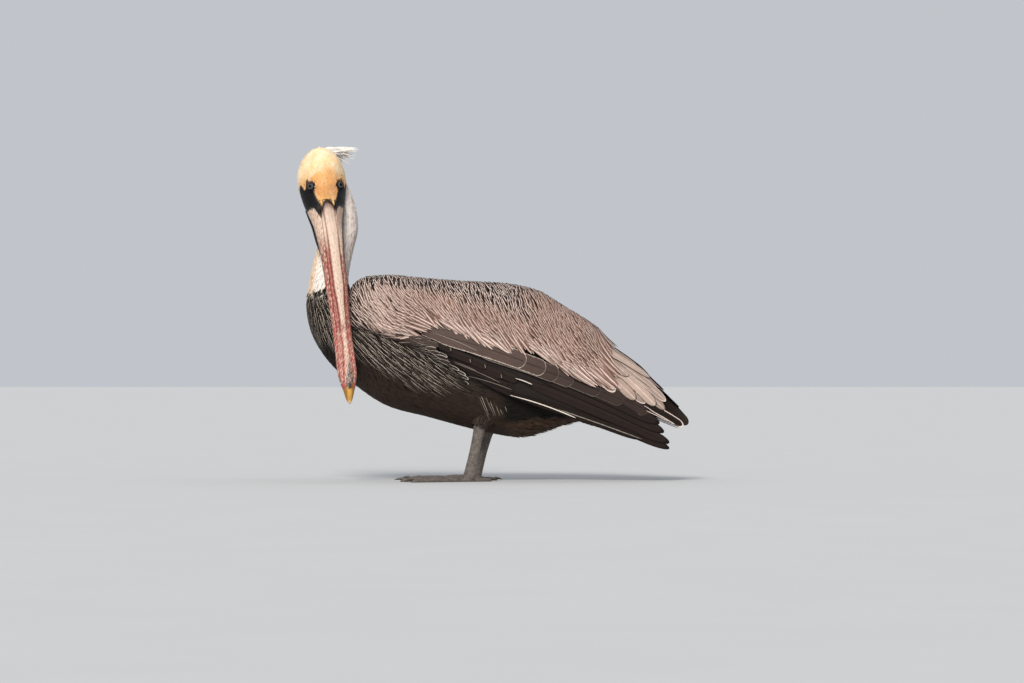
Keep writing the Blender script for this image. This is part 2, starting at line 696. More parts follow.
# ---------- skin ----------
# How deep the skin lies under the solids' surface, where it carries feathers.
HEAD_DEPTH, NECK_DEPTH, BODY_DEPTH, WING_DEPTH = 2.2, 3.4, 6.0, 7.5
SKIN_VOXEL, FOOT_VOXEL = 2.2, 0.95
# Radius, thickness and reach outward of each rim of the eyelids, and how they are pinched fore and aft.
LID_RIMS = ((5.35, 1.15, 6.6), (7.6, 0.9, 5.2))
LID_PINCH = 0.9


def trunk_depth(p):
    return BODY_DEPTH + (NECK_DEPTH - BODY_DEPTH) * smooth(10.5, 12.5, p[..., 0])


def build_trunk():
    return loft("trunk_skin", sweep(lambda p: torso(p, -trunk_depth(p)), 0.0, 18.5, 220, 96))


def from_eye(s, across, up):
    """Distance from the eye on the same side of the head."""
    return np.linalg.norm(from_head(s, across, up) - eye_centre(np.sign(across)), axis=-1)


def build_head_skin():
    """The head: bare on the face, sunk round each eye, deep enough for feathers elsewhere."""
    rings = sweep(head, -90.6, 16.0, 100, 120, grow=-HEAD_DEPTH)
    points = rings.reshape(-1, 3)
    s, across, up = to_head(points).T
    socket = np.exp(-(from_eye(s, across, up) / 10.0) ** 2)
    push = smooth(-2, 3, bareness(points)) * (HEAD_DEPTH - 0.5) - 2.6 * socket
    points = points + unit(points - from_head(s, 0 * s, head_wide(s))) * push[:, None]
    return loft("head_skin", points.reshape(rings.shape))


def build_wing_skin(side):
    rings = []
    for x in np.linspace(-186, 196, 120):
        outer = wing_section(x, side, -WING_DEPTH)
        inner = wing_section(x, side, -WING_DEPTH - 7)
        inner[:, 2] = np.maximum(inner[:, 2], outer[-1, 2] + 0.5)
        rings.append(np.concatenate([outer, inner[::-1]])[::2])
    return loft("wing_skin", np.array(rings))


def build_body_skin():
    parts = [build_trunk(), build_head_skin()]
    parts += [build_wing_skin(side) for side in SIDES.values()]
    parts += [loft("thigh_skin", sweep(thigh, 0.0, 1.0, 60, 48, hand=hand, grow=-4.0)) for hand in LEGS]
    return remesh(join(parts, "body_skin"), SKIN_VOXEL, 6)


def eyelid_axis(side):
    """The way an eye looks: out, up and a little forward of the bird."""
    return unit(np.array([0.12, 0.46 * side, 0.88]) @ HEAD)


def ring_basis(axis):
    one = unit(np.cross(axis, HEAD[0]))
    return one, np.cross(axis, one)


def build_lids(side):
    """Two rims of the lids round the eye, the outer one a low fold."""
    axis = eyelid_axis(side)
    one, two = ring_basis(axis)
    turn, spin = grid(circle(64), circle(14))
    wobble = 1 + 0.04 * np.sin(9 * turn + side) + 0.03 * np.sin(17 * turn)
    index = np.arange(turn.size).reshape(turn.shape)
    down = np.roll(index, -1, axis=0)
    quads = np.stack([index, np.roll(index, -1, axis=1), np.roll(down, -1, axis=1), down], -1)
    parts = []
    for radius, thick, out in LID_RIMS:
        reach = radius + thick * wobble * np.cos(spin)
        height = out + thick * wobble * np.sin(spin)
        points = (eye_centre(side) + (reach * np.cos(turn))[..., None] * one * LID_PINCH
                  + (reach * np.sin(turn))[..., None] * two + height[..., None] * axis)
        parts.append(make_mesh("lid", points.reshape(-1, 3), quads.reshape(-1, 4)))
    return parts


def build_leg_skin(hand):
    parts = [build_shank(hand), *[build_toe(hand, *toe) for toe in TOES.values()], build_web(hand)]
    thing = remesh(join(parts, "leg_" + hand), FOOT_VOXEL, 3)
    points = points_of(thing)
    points[:, 2] = np.maximum(points[:, 2], 0.02)
    set_points(thing, points)
    return thing


shank_deep = Curve((0, 6.5), (0.12, 9.0), (0.22, 8.2), (0.5, 7.6), (0.82, 8.6), (1, 9.4))
shank_wide = Curve((0, 5), (0.12, 7.0), (0.22, 5.9), (0.5, 5.4), (0.82, 6.2), (1, 7.2))


def build_shank(hand):
    """The tarsus, from above the hock into the foot."""
    hock, ankle = LEGS[hand][2:]
    above = hock + 0.12 * (hock - ankle)
    t, angle = grid(np.linspace(0, 1, 70), circle(40))
    middle = above * (1 - t[..., None]) + np.array([ankle[0], ankle[1], 5.0]) * t[..., None]
    scute = 1 + 0.02 * np.sin(t * 110) * (np.cos(angle) > 0.2)
    deep, wide = shank_deep(t) * scute, shank_wide(t)
    points = middle + (deep * np.cos(angle))[..., None] * unit(np.array([-1.0, 0, 0.18]))
    points[..., 1] += wide * np.sin(angle)
    return loft("shank", points)


def sole(hand):
    """The middle of a foot, on the floor."""
    return LEGS[hand][3] * np.array([1, 1, 0])


def heading(degrees, hand):
    """The way that a toe points, and the way across it."""
    turn = degrees * RADIANS
    way = np.array([-math.cos(turn), SIDES[hand] * math.sin(turn), 0])
    return way, np.array([-way[1], way[0], 0])


toe_tall = Curve((0, 1.2), (0.15, 1.0), (0.55, 0.74), (0.85, 0.72), (1, 0.5))


def build_toe(hand, turn, length, height):
    """A toe with its knuckles and crosswise plates, flat underneath."""
    way, across = heading(turn, hand)
    t, angle = grid(np.linspace(0, 1, 90), circle(24))
    knuckles = 0.06 * np.cos(2 * math.pi * 3 * t)
    plates = 0.035 * np.sin(t * length * 1.5) * (np.sin(angle) > 0.3)
    end = np.sqrt(np.clip(1 - within((t - 0.93) / 0.07) ** 2, 0.02, 1))
    tall = height * toe_tall(t) * (1 + knuckles + plates) * end
    wide = TOE_WIDTH / 2 * (1.15 - 0.3 * t) * (1 + knuckles) * end
    start = sole(hand) - 4 * way
    points = start + (t * (length + 4))[..., None] * way + (wide * np.cos(angle))[..., None] * across
    points[..., 2] = np.maximum(tall * (0.4 + 0.6 * np.sin(angle)), 0)
    return loft("toe", points)


# Neighbouring toes, and how deeply the web between them is scooped.
WEBS = (("hind", "inner", 0.2), ("inner", "middle", 0.13), ("middle", "outer", 0.13))
WEB_THICK = 2.0


def build_web(hand):
    """Webs between neighbouring toes: thin sheets with scooped edges and fine creases."""
    foot = sole(hand)
    tips = {name: foot + heading(turn, hand)[0] * (length - 5) for name, (turn, length, _) in TOES.items()}
    out, over = grid(np.linspace(0.02, 1, 50), np.linspace(0, 1, 30))
    crease = 0.25 * np.sin(over * 40) * smooth(0, 0.3, out) * smooth(1, 0.7, out)
    slack = 0.5 * np.sin(over * math.pi) * smooth(0.1, 0.5, out)
    parts = []
    for first, second, scoop in WEBS:
        one, two = tips[first], tips[second]
        bight = (one + two) / 2 * (1 - scoop) + foot * scoop
        edge = ((1 - over) ** 2)[..., None] * one + (2 * over * (1 - over))[..., None] * bight
        edge = edge + (over ** 2)[..., None] * two
        top = foot + (edge - foot) * out[..., None]
        bottom = top * np.array([1, 1, 0])
        top[..., 2] = WEB_THICK + crease + slack
        parts.append(slab("web", top, bottom))
    return join(parts, "web")


def slab(name, top, bottom):
    """A closed sheet from matching grids of its upper and lower faces."""
    rows, columns = top.shape[:2]
    index = np.arange(rows * columns).reshape(rows, columns)
    faces = [np.stack([index[:-1, :-1], index[1:, :-1], index[1:, 1:], index[:-1, 1:]], -1).reshape(-1, 4)]
    faces.append(faces[0][:, ::-1] + rows * columns)
    rim = np.concatenate([index[0], index[1:, -1], index[-1, -2::-1], index[-2:0:-1, 0]])
    ahead = np.roll(rim, -1)
    faces.append(np.stack([rim, ahead, ahead + rows * columns, rim + rows * columns], -1))
    points = np.concatenate([top.reshape(-1, 3), bottom.reshape(-1, 3)])
    return make_mesh(name, points, np.concatenate(faces))


def skin_tint(points):
    """The coat's markings on the skin under it, and the bare face."""
    s, across, up = to_head(points).T
    x, y, z = points.T
    on_head = (s < 22) & (s > -95) & (up > -52 - 14 * smooth(-50, -80, s)) & (np.abs(across) < 40)
    tint = torso_tint(points, nearest_rib(points), np.full(len(points), -0.3))
    tint[on_head] = head_tint(points[on_head])
    face = blend(FACE, FACE_PINK, within(pink_share(points)))
    tint = blend(tint, face, smooth(-0.5, 1.5, bareness(points)) * on_head)
    on_wing = (x > -186) & (np.abs(y) > 6) & (z > wing_edge(x)) & (z < 306)
    tint[on_wing & ~on_head] = SILVER_DARK * 0.8
    tint[z < 84] = LEG
    return tint


def neck_line(places):
    """Points down the middle of trunk and neck."""
    return (through(BACK, places) + through(BELLY, places)) / 2


def nearest_rib(points):
    places = np.linspace(0, 19, 96)
    gaps = np.linalg.norm(points[:, None, ::2] - neck_line(places)[None, :, ::2], axis=-1)
    return places[gaps.argmin(1)]


def pink_share(points):
    """Pinkish brown skin over and behind the eye."""
    s, across, up = to_head(points).T
    near = smooth(13.5, 9.5, from_eye(s, across, up))
    return near * smooth(-22, -32, s) * (0.6 + 0.3 * ripple(points, 3, 8))


def build_skin():
    """One skin for body, head and lids, and a bare scaly piece for each leg and foot."""
    body = build_body_skin()
    lids = [part for side in SIDES.values() for part in build_lids(side)]
    legs = [build_leg_skin(hand) for hand in LEGS]
    skin = join([body, *lids], "skin")
    give_colour(skin, "field", skin_tint(points_of(skin)))
    nodes = ["trunk", "neck_lower", "neck_upper", "head", "thigh_left", "thigh_right"]
    finish_piece(skin, skin_material(), nodes)
    scales = scale_material()
    for hand, leg in zip(LEGS, legs):
        tone = 0.5 + 0.5 * ripple(points_of(leg), 9, 12)
        give_colour(leg, "field", blend(LEG * 0.8, LEG * 1.25, tone))
        finish_piece(leg, scales, [f"leg_{hand}", f"foot_{hand}"])


# ---------- bill ----------
upper_share = Curve((5, 0.44), (40, 0.52), (89, 0.6), (150, 0.64), (240, 0.72), (280, 0.84), (296, 0.98),
                    (320, 1.0))
culmen_share = Curve((5, 0.31), (40, 0.38), (89, 0.44), (136, 0.46), (175, 0.36), (240, 0.36), (289, 0.55))
CULMEN_ASIDE = -2.2
BILL_ROWS, BILL_SIDES = 300, 96
BONE, BONE_DARK, BLOOD, ROSE = colour("#cdb4a1"), colour("#8f7468"), colour("#7a2f28"), colour("#a9544b")
RUST, JAW_GOLD = colour("#8a3c2a"), colour("#9c7250")
SEAM, SLATE, NAIL_GOLD = colour("#35211d"), colour("#4a4644"), colour("#c49343")
POUCH_DARK, POUCH_PALE = colour("#1f1c1b"), colour("#4c433f")
BILL_BASE, NAIL_SIDE = colour("#5f382c"), colour("#7a4f1e")


def roof(s, across):
    """Height of the bill's upper face at a place along and across it."""
    wide, power = head_wide(s), head_top_round(s)
    share = within(np.abs(across) / head_half(s))
    return wide + (head_top(s) - wide) * (1 - share ** power) ** (1 / power)


def build_upper():
    """Upper jaw: a rounded ridge between two grooves and a narrow edge on either side."""
    s, across = grid(np.linspace(-1.5, NAIL_START + 2, BILL_ROWS), np.linspace(-1, 1, 61))
    half = head_half(s)
    reach = upper_share(s) * half
    ridge = culmen_share(s) * half
    aside = CULMEN_ASIDE * smooth(0, 60, s) * smooth(NAIL_START + 2, 270, s)
    wide = across * reach + aside * (1 - np.abs(across) ** 3)
    off = np.abs(wide - aside) - ridge
    height = roof(s, wide) + 0.9 * smooth(0.4, -ridge * 0.9, off) - 1.5 * np.exp(-(off / 0.75) ** 2)
    height = height - 0.9 * smooth(0.93, 1.0, np.abs(across)) + 0.3
    points = np.stack([s, wide, height], -1)
    height = height + 0.16 * ripple(points, 3.2, 21, (0.25, 1, 1)) + 0.12 * ripple(points, 1.8, 22)
    height = height - smooth(4, -1.5, s - 0.09 * wide ** 2) * 1.6
    under = np.minimum(height - 3.2, roof(s, reach) - 2.4)
    thing = slab("bill_upper", from_head(s, wide, height), from_head(s, wide * 0.97, under))
    tint = upper_tint(s.ravel(), (wide - aside).ravel(), off.ravel(), points_of(thing)[:s.size])
    give_colour(thing, "field", np.concatenate([tint, tint * 0.5]))
    return thing


def upper_tint(s, wide, off, points):
    """Bone ridge flecked with grey, reddening edges, dark grooves and a slate patch at the nail."""
    fleck = ripple(points, 2.2, 31, (1, 1, 0.5)) + 0.6 * ripple(points, 4.5, 32)
    streaks = ripple(points, 3.4, 33, (1, 1, 0.22))
    chips = ripple(points, 2.4, 34, (1, 1, 0.45)) + 0.5 * ripple(points, 1.9, 35)
    start = np.where(wide > 0, 60, 85)
    red = smooth(0, 50, s - start) * smooth(-1.5, 1.6, off) * (0.95 - 0.35 * smooth(190, 240, s))
    rosy = smooth(170, 225, s) * (0.3 + 0.65 * smooth(-0.2, 0.5, streaks)) * smooth(1.2, 2.6, np.abs(wide))
    strip = smooth(40, 100, s) * smooth(-2.8, 0.2, off) * (0.95 - 0.65 * smooth(196, 214, s))
    stain = blend(ROSE * 0.85, BLOOD, within(0.45 + 0.5 * fleck))
    spot = np.exp(-((s - 204) / 6) ** 2) * (0.65 + 0.5 * fleck)
    groove = 0.75 - 0.5 * smooth(170, 215, s)
    groove = groove * (0.75 + 0.25 * fleck).clip(0.2, 1) * np.exp(-(off / 0.8) ** 2)
    ahead = s + 0.5 - 0.115 * wide ** 2
    slate = smooth(246, 272, s) * smooth(2.0, -2.0, np.abs(wide + 1.5) - 2.6 - 3.2 * smooth(265, 290, s))
    return paint(
        BONE, (BONE_DARK, smooth(0.25, 1.2, fleck) * (0.3 + 0.45 * smooth(40, 150, s))),
        (BONE_DARK, 0.45 * smooth(45, 8, s)),
        (BLOOD, within(red * (0.8 + 0.45 * fleck))),
        (ROSE, within(rosy)),
        (stain, within(strip * (0.85 + 0.3 * streaks))),
        (RUST, 0.6 * strip * smooth(205, 170, s) * within(0.7 + 0.4 * fleck)),
        (BONE * 1.1, 0.75 * smooth(0.5, 1.1, chips) * smooth(150, 215, s)),
        (BLOOD * 0.7, 0.6 * smooth(-0.5, -1.1, chips) * smooth(90, 205, s)),
        (BLOOD, within(0.8 * spot)),
        (SEAM, groove),
        (BILL_BASE, smooth(17, 8, ahead) * 0.7),
        (SEAM * 0.4, smooth(8.4, 5.8, ahead)),
        (SLATE, within(slate * (0.8 + 0.4 * fleck))))


def build_lower():
    """Lower jaw: outer rims beside the upper jaw, hollowed under it, flat above the pouch."""
    s, angle = grid(np.linspace(4.0, 298, BILL_ROWS), circle(2 * BILL_SIDES))
    across, height = head_section(s, angle, -0.2)
    reach = upper_share(s) * head_half(s)
    under_jaw = (np.sin(angle) > 0) * smooth(reach + 0.5, reach - 0.4, np.abs(across))
    height = height - under_jaw * 3.0
    tip = smooth(287, 298, s)
    low = np.where(s > POUCH_END, -99.0, POUCH_LINE(s))
    squeeze = height < low
    height = np.where(squeeze, low, height) - tip * 3.5
    across = across * (1 - 0.5 * tip)
    grain = ripple(np.stack([s, across, height], -1), 3.0, 23, (0.3, 1, 1)) * (~squeeze)
    across = across + 0.14 * grain * np.sign(across)
    thing = loft("bill_lower", from_head(s, across, height))
    off = (np.abs(across) - reach).ravel()
    below = (head_wide(s) - height).ravel()
    give_colour(thing, "field", lower_tint(s.ravel(), off, below, across.ravel(), points_of(thing)))
    return thing


def lower_tint(s, off, below, across, points):
    """Bone at the base, mottled with blood red further down, more on the outer sides."""
    fleck = ripple(points, 2.0, 41, (1, 1, 0.45)) + 0.5 * ripple(points, 4.0, 42)
    gold = ripple(points, 3.0, 46, (1, 1, 0.35))
    pink = 0.6 + 0.4 * ripple(points, 4, 43, (1, 1, 0.3))
    chips = ripple(points, 2.6, 44, (1, 1, 0.5)) + 0.5 * ripple(points, 1.9, 45)
    right, left = across > 0, across < 0
    inset = head_half(s) - np.abs(across)
    edge = np.where(right, smooth(0.0, 1.6, below), smooth(4.0, 2.8, inset)) * smooth(125, 90, s)
    maroon = smooth(60, 110, s) * smooth(250, 190, s) * smooth(-7, -3, below) * left
    inner = np.where(right, 17 * smooth(9, 1, off), 9 * smooth(4, 0, off))
    return paint(
        BONE, (BONE_DARK, smooth(0.2, 1.1, fleck) * 0.7),
        (JAW_GOLD, 0.6 * smooth(0.1, 1.0, gold) * smooth(130, 60, s)),
        (BLOOD, np.clip(smooth(0, 50, s - np.where(right, 42, 62)) * (0.72 + 0.55 * fleck), 0, 0.95)),
        (ROSE, within(smooth(150, 215, s) * pink)),
        (BONE_DARK * 0.8, 0.7 * left * smooth(70, 30, s)),
        (POUCH_DARK, edge * 0.9),
        (BLOOD * 0.6, 0.7 * maroon),
        (RUST, 0.55 * smooth(70, 110, s) * smooth(210, 170, s) * within(0.6 + 0.5 * fleck)),
        (BONE, 0.75 * smooth(0.5, 1.1, chips) * smooth(140, 210, s)),
        (BLOOD * 0.7, 0.6 * smooth(-0.5, -1.1, chips) * smooth(70, 160, s)),
        (SEAM, (0.85 - 0.5 * smooth(150, 210, s)) * smooth(0.9, 0.0, np.abs(off + 0.2))),
        (FACE * 0.15, smooth(2.5, -2.5, s - (10 + inner + 1.2 * fleck))))


def build_pouch():
    """The folded pouch under the jaw, with fine lengthwise creases."""
    s, angle = grid(np.linspace(2.0, POUCH_END, 220), circle(144))
    across, height = head_section(s, angle, -0.3)
    line = POUCH_LINE(s) - 0.1
    crease = 0.55 * np.sin(height * 2.4 + 1.5 * ripple(np.stack([s, 0 * s, 0 * s], -1), 40, 51))
    across = across + np.sign(across) * crease * smooth(0, 6, line - height)
    across = across * (1 - 0.4 * smooth(45, 110, s))
    height = np.where(height > line, line, height)
    thing = loft("pouch", from_head(s, across, height))
    tone = 0.35 + 0.35 * ripple(points_of(thing), 7, 52, (1, 1, 0.4)) + 0.3 * np.sin(height * 2.4).ravel()
    give_colour(thing, "field", blend(POUCH_DARK, POUCH_PALE, within(tone)))
    return thing


def build_nail():
    """The hooked nail that caps the upper jaw."""
    rings = sweep(head, NAIL_START, BILL_LENGTH, 60, 64, grow=0.35)
    s, across, up = to_head(rings.reshape(-1, 3)).T
    up = np.maximum(up, head_wide(s) - 3.5 - 6 * smooth(296, 320, s))
    ridge = 0.5 * np.exp(-(across / 2.0) ** 2)
    points = from_head(s, across, up + ridge * (up > head_wide(s)))
    thing = loft("bill_nail", points.reshape(rings.shape))
    gold_start = 300 + 1.8 * ripple(points, 4, 61)
    flank = smooth(4.6, 6.2, np.abs(across + 0.8) + 0.5 * ripple(points, 4, 62)) * smooth(303, 297, s)
    give_colour(thing, "field", paint(
        NAIL_GOLD, (SLATE * 0.6, smooth(gold_start + 1.5, gold_start - 1.5, s)),
        (BONE, smooth(314, 320, s) * 0.6),
        (NAIL_SIDE, smooth(1.6, 5.0, np.abs(across)) * 0.75),
        (ROSE * 0.8, flank)))
    return thing


def build_bill():
    horn = horn_material("bill", 0.46, 0.55)
    nail = horn_material("bill_nail", 0.38, 0.2)
    pouch = horn_material("pouch", 0.55, 0.25)
    finish_piece(build_upper(), horn, ["bill_upper"])
    finish_piece(build_lower(), horn, ["bill_lower"])
    finish_piece(build_pouch(), pouch, ["pouch"])
    finish_piece(build_nail(), nail, ["bill_nail"])


# ---------- eyes and claws ----------
IRIS, IRIS_EDGE, PUPIL, BALL = colour("#666b6d"), colour("#222326"), colour("#040405"), colour("#0e0c0d")
CLAW, CLAW_PALE = colour("#1d1a19"), colour("#5a534d")


def build_eye(hand, material):
    """An eyeball with a bulging cornea; rings of colour from the pupil out."""
    axis = eyelid_axis(SIDES[hand])
    one, two = ring_basis(axis)
    away, turn = grid(np.linspace(0.01, math.pi - 0.01, 90), circle(64))
    radius = EYE_RADIUS - 0.6 + 0.5 * np.exp(-(away / 0.45) ** 2)
    out = (radius * np.sin(away))[..., None]
    points = eye_centre(SIDES[hand]) + (radius * np.cos(away))[..., None] * axis
    points = points + out * (np.cos(turn)[..., None] * one + np.sin(turn)[..., None] * two)
    thing = loft("eye_" + hand, points)
    reach = (EYE_RADIUS * np.sin(away) * (away < 1.5) + 9 * (away >= 1.5)).ravel()
    give_colour(thing, "field", paint(
        PUPIL, (IRIS, smooth(2.9, 3.15, reach)), (IRIS_EDGE, smooth(3.6, 4.1, reach) * 0.8),
        (BALL, smooth(4.1, 4.4, reach))))
    finish_piece(thing, material, ["eye_" + hand])


def build_claws(hand, material):
    """A curved, pointed claw at the end of each toe."""
    claws = []
    t, angle = grid(np.linspace(0, 1, 24), circle(16))
    radius = 2.2 * (1 - 0.93 * t ** 1.6)
    for turn, length, height in TOES.values():
        way, across = heading(turn, hand)
        points = sole(hand) + (length - 4 + CLAW_LENGTH * t)[..., None] * way
        points[..., 2] = height * 0.46 + 1.0 * np.sin(t * 2.2) - 2.6 * t ** 2
        points = points + (radius * np.cos(angle))[..., None] * across
        points[..., 2] = np.maximum(points[..., 2] + radius * np.sin(angle), 0.03)
        claws.append(loft("claw", points))
    thing = join(claws, "claws_" + hand)
    give_colour(thing, "field", blend(CLAW, CLAW_PALE, smooth(2.5, 6.5, points_of(thing)[:, 2])))
    finish_piece(thing, material, [f"claw_{hand}_{name}" for name in TOES])


# ---------- feathers ----------
POINTED = Curve((0, 0.42), (0.25, 0.86), (0.5, 1), (0.75, 0.8), (0.9, 0.45), (1, 0.2))
ROUNDED = Curve((0, 0.4), (0.3, 0.86), (0.65, 1), (0.85, 0.93), (0.95, 0.66), (1, 0.42))
PLUME = Curve((0, 0.5), (0.3, 1), (0.6, 0.75), (0.85, 0.4), (1, 0.12))
ALL_ROUND = (-1.5 * math.pi, 0.5 * math.pi)
# Small steps in a surface's own measures, for its slopes.
TORSO_STEP, WING_STEP = (0.02, 0.02), (2.0, 0.01)
# Height of the roots of the body's feathers, against the solids' surface.
BODY_ROOT = -4.6
# Where the wings start and stop covering the body, and where the neck's feathers start above the breast.
COVERED_FROM, COVERED_TO, NECK_COAT_FLOOR = -178, 262, 262


class Coat:
    """Feathers gathered for one piece, and the colours that each carries."""

    def __init__(self, name):
        self.name = name
        self.points, self.quads, self.tris = [], [], []
        self.vane, self.bake, self.marks = [], [], {"field": [], "streak": [], "rim": [], "plan": []}
        self.count = 0

    def add(self, centre, normal, width, profile, marks, cells, keep=slice(None), camber=0.3, columns=3,
            cell_size=UV_PATCH, share=None):
        """Closed vanes: centre and normal are (feather, row, 3), the last row being the tip."""
        width, normal = np.broadcast_to(width, len(centre))[keep], np.broadcast_to(normal, centre.shape)[keep]
        centre = centre[keep]
        number, rows = centre.shape[0], centre.shape[1] - 1
        share = np.linspace(0, 1, rows + 1) if share is None else share
        ahead = unit(np.gradient(centre, axis=1))
        across = unit(np.cross(ahead, normal))
        out = np.cross(across, ahead)
        side = np.linspace(-1, 1, columns)
        half = (width.reshape(-1, 1) / 2 * profile(share[:-1]))[..., None, None]
        arch = (1 - side ** 2)[None, None, :, None] * camber
        across, out = across[:, :-1, None], out[:, :-1, None]
        top = centre[:, :-1, None] + half * (side[None, None, :, None] * across + arch * out)
        tip = centre[:, -1:]
        points = np.concatenate([top.reshape(number, -1, 3), tip,
                                 top[:, :, [0, -1]].reshape(number, -1, 3), tip], 1)
        each = points.shape[1]
        flat = np.concatenate([self.patch((side + 1) / 2, share), self.patch([0.0, 1.0], share)])
        quads, tris = self.layout(rows, columns)
        start = self.count + each * np.arange(number)[:, None, None]
        self.points.append(points.reshape(-1, 3))
        self.quads.append((quads[None] + start).reshape(-1, 4))
        self.tris.append((tris[None] + start).reshape(-1, 3))
        self.vane.append(np.tile(flat, (number, 1)))
        self.bake.append(((flat[None] - 0.5) * np.asarray(cell_size) + cells[keep][:, None]).reshape(-1, 2))
        for key, values in zip(self.marks, marks):
            self.marks[key].append(np.repeat(values[keep], each, axis=0))
        self.count += number * each

    @staticmethod
    def patch(across, share):
        """Places across and along one face of a vane, and its tip."""
        u, v = np.meshgrid(across, share[:-1])
        return np.concatenate([np.stack([u, v], -1).reshape(-1, 2), [[0.5, 1.0]]])

    @staticmethod
    def layout(rows, columns):
        """Faces of one vane: its arched face, tip, flat back and root."""
        top = np.arange(rows * columns).reshape(rows, columns)
        tip = rows * columns
        low = tip + 1 + np.arange(rows * 2).reshape(rows, 2)
        low_tip = tip + 1 + rows * 2
        quads = [np.stack([top[:-1, :-1], top[:-1, 1:], top[1:, 1:], top[1:, :-1]], -1).reshape(-1, 4),
                 np.stack([low[:-1, 1], low[:-1, 0], low[1:, 0], low[1:, 1]], -1)]
        tris = [[top[-1, j], top[-1, j + 1], tip] for j in range(columns - 1)]
        tris.append([low[-1, 1], low[-1, 0], low_tip])
        tris += [[top[0, 0], top[0, j + 1], top[0, j]] for j in range(1, columns - 1)]
        return np.concatenate(quads), np.array(tris)

    def build(self, material, slot, nodes=()):
        points = np.concatenate(self.points)
        thing = make_mesh(self.name, points, np.concatenate(self.quads), np.concatenate(self.tris))
        give_uv(thing, "vane", np.concatenate(self.vane))
        give_uv(thing, "OFBake", np.clip(np.concatenate(self.bake), 0.001, 0.999))
        for key, values in self.marks.items():
            give_colour(thing, key, np.concatenate(values))
        finish_piece(thing, material, nodes)


def slopes(surface, p, step):
    """How a surface moves with each of its two measures."""
    one, two = np.array([step[0], 0]), np.array([0, step[1]])
    along = (surface(p + one) - surface(p - one)) / (2 * step[0])
    beside = (surface(p + two) - surface(p - two)) / (2 * step[1])
    return along, beside


def bearings(along, beside):
    """The unit way along a surface's first measure, and the one square to it towards the second."""
    first = unit(along)
    second = unit(np.cross(unit(np.cross(along, beside)), first))
    return first, second * np.sign(np.sum(second * beside, -1, keepdims=True))


def lay(surface, p, step, turn, length, lift, sign=None):
    """Centre lines and normals of feathers turned from a surface's first measure, lifted row by row."""
    if sign is None:
        sign = outward_sign(surface, p, step)
    along, beside = slopes(surface, p, step)
    first, second = bearings(along, beside)
    way = np.cos(turn)[:, None] * first + np.sin(turn)[:, None] * second
    skew = np.sum(unit(beside) * first, -1)
    part_two = np.sum(way * second, -1) / np.maximum(np.sqrt(1 - skew ** 2), 0.2)
    part_one = np.sum(way * first, -1) - part_two * skew
    move = np.stack([part_one / np.linalg.norm(along, axis=-1),
                     part_two / np.linalg.norm(beside, axis=-1)], -1) * length[:, None]
    centre, normal = [], []
    for share, height in zip(np.linspace(0, 1, len(lift)), lift):
        q = p + move * share
        out = unit(np.cross(*slopes(surface, q, step))) * sign
        centre.append(surface(q) + out * np.asarray(height).reshape(-1, 1))
        normal.append(out)
    return np.stack(centre, 1), np.stack(normal, 1)


def scatter(surface, starts, ends, spacing, span, seed):
    """Staggered, jittered places on a surface of (place, angle), spacing apart along and across."""
    rng = np.random.default_rng(seed)
    fine = np.linspace(starts, ends, 400)
    run = run_of(surface(np.stack([fine, np.full_like(fine, (span[0] + span[1]) / 2)], -1)))
    rows = np.interp(np.arange(spacing[0] / 2, run[-1], spacing[0]), run, fine)
    places = []
    for i, row in enumerate(rows):
        around = run_of(surface(np.stack([np.full(97, row), np.linspace(*span, 97)], -1)))
        at = np.arange((0.25 + 0.5 * (i % 2)) * spacing[1], around[-1], spacing[1])
        at = at + rng.uniform(-0.3, 0.3, len(at)) * spacing[1]
        angle = np.interp(at, around, np.linspace(*span, 97))
        drift = (ends - starts) / run[-1] * spacing[0] * rng.uniform(-0.3, 0.3, len(at))
        places.append(np.stack([row + drift, angle], -1))
    return np.concatenate(places), rng


def plan(streak, rim, length, tip=0.2):
    """Widths of streak and rim as shares of the vane, the tip's share of the length, and length."""
    return np.stack(np.broadcast_arrays(streak, rim, tip, length / 100), -1)


def vary(tint, rng, amount, count):
    """Each feather a little lighter or darker than its neighbours."""
    return tint * (1 + amount * rng.uniform(-1, 1, (count, 1)))


def fit(values, low, high):
    return 0.02 + 0.96 * (values - low) / (high - low)


def spots(p, first, second):
    """Where feathers lie in their bake, from the ranges of a surface's two measures."""
    return np.stack([fit(p[:, 0], *first), fit(p[:, 1], *second)], -1)


def row_of(count, height):
    """Places of a row of long feathers in their bake."""
    return np.stack([(np.arange(count) + 0.5) / count, np.full(count, height)], -1)


def clear_of_wings(points, margin=0.0):
    """Whether body points lie outside the room that the wings cover."""
    x, y, z = points.T
    edge = wing_edge(x) + np.where(y > 0, wing_lift(x, 1), 0)
    return (x < COVERED_FROM) | (z < edge + margin) | (x > COVERED_TO)


def neck_coat():
    coat = Coat("neck_coat")
    p, rng = scatter(torso, 10.6, 18.2, (2.9, 2.7), ALL_ROUND, 101)
    count, place, rib = len(p), torso(p), p[:, 0]
    length = 7 + 9 * smooth(15.5, 11.5, rib) + rng.uniform(-1, 1.5, count)
    turn = math.pi + rng.normal(0, 0.14, count)
    depth = -NECK_DEPTH * smooth(10.5, 12.5, rib) - 4.5 * smooth(12.5, 10.5, rib)
    lift = (depth, depth + 1.2, depth + 2.2, -0.4 + rng.uniform(-0.3, 0.6, count))
    centre, normal = lay(torso, p, TORSO_STEP, turn, length, lift)
    field = np.minimum(vary(torso_tint(place, rib, p[:, 1]), rng, 0.05, count), 1)
    marks = (field, np.minimum(field * 1.06, 1), field * 0.9, plan(0.15, 0.25, length))
    keep = (place[:, 2] > NECK_COAT_FLOOR) & outside_head(place) & (field.sum(1) > 0.25)
    coat.add(centre, normal, 2.9, PLUME, marks, spots(p, (10, 19), ALL_ROUND), keep)
    return coat


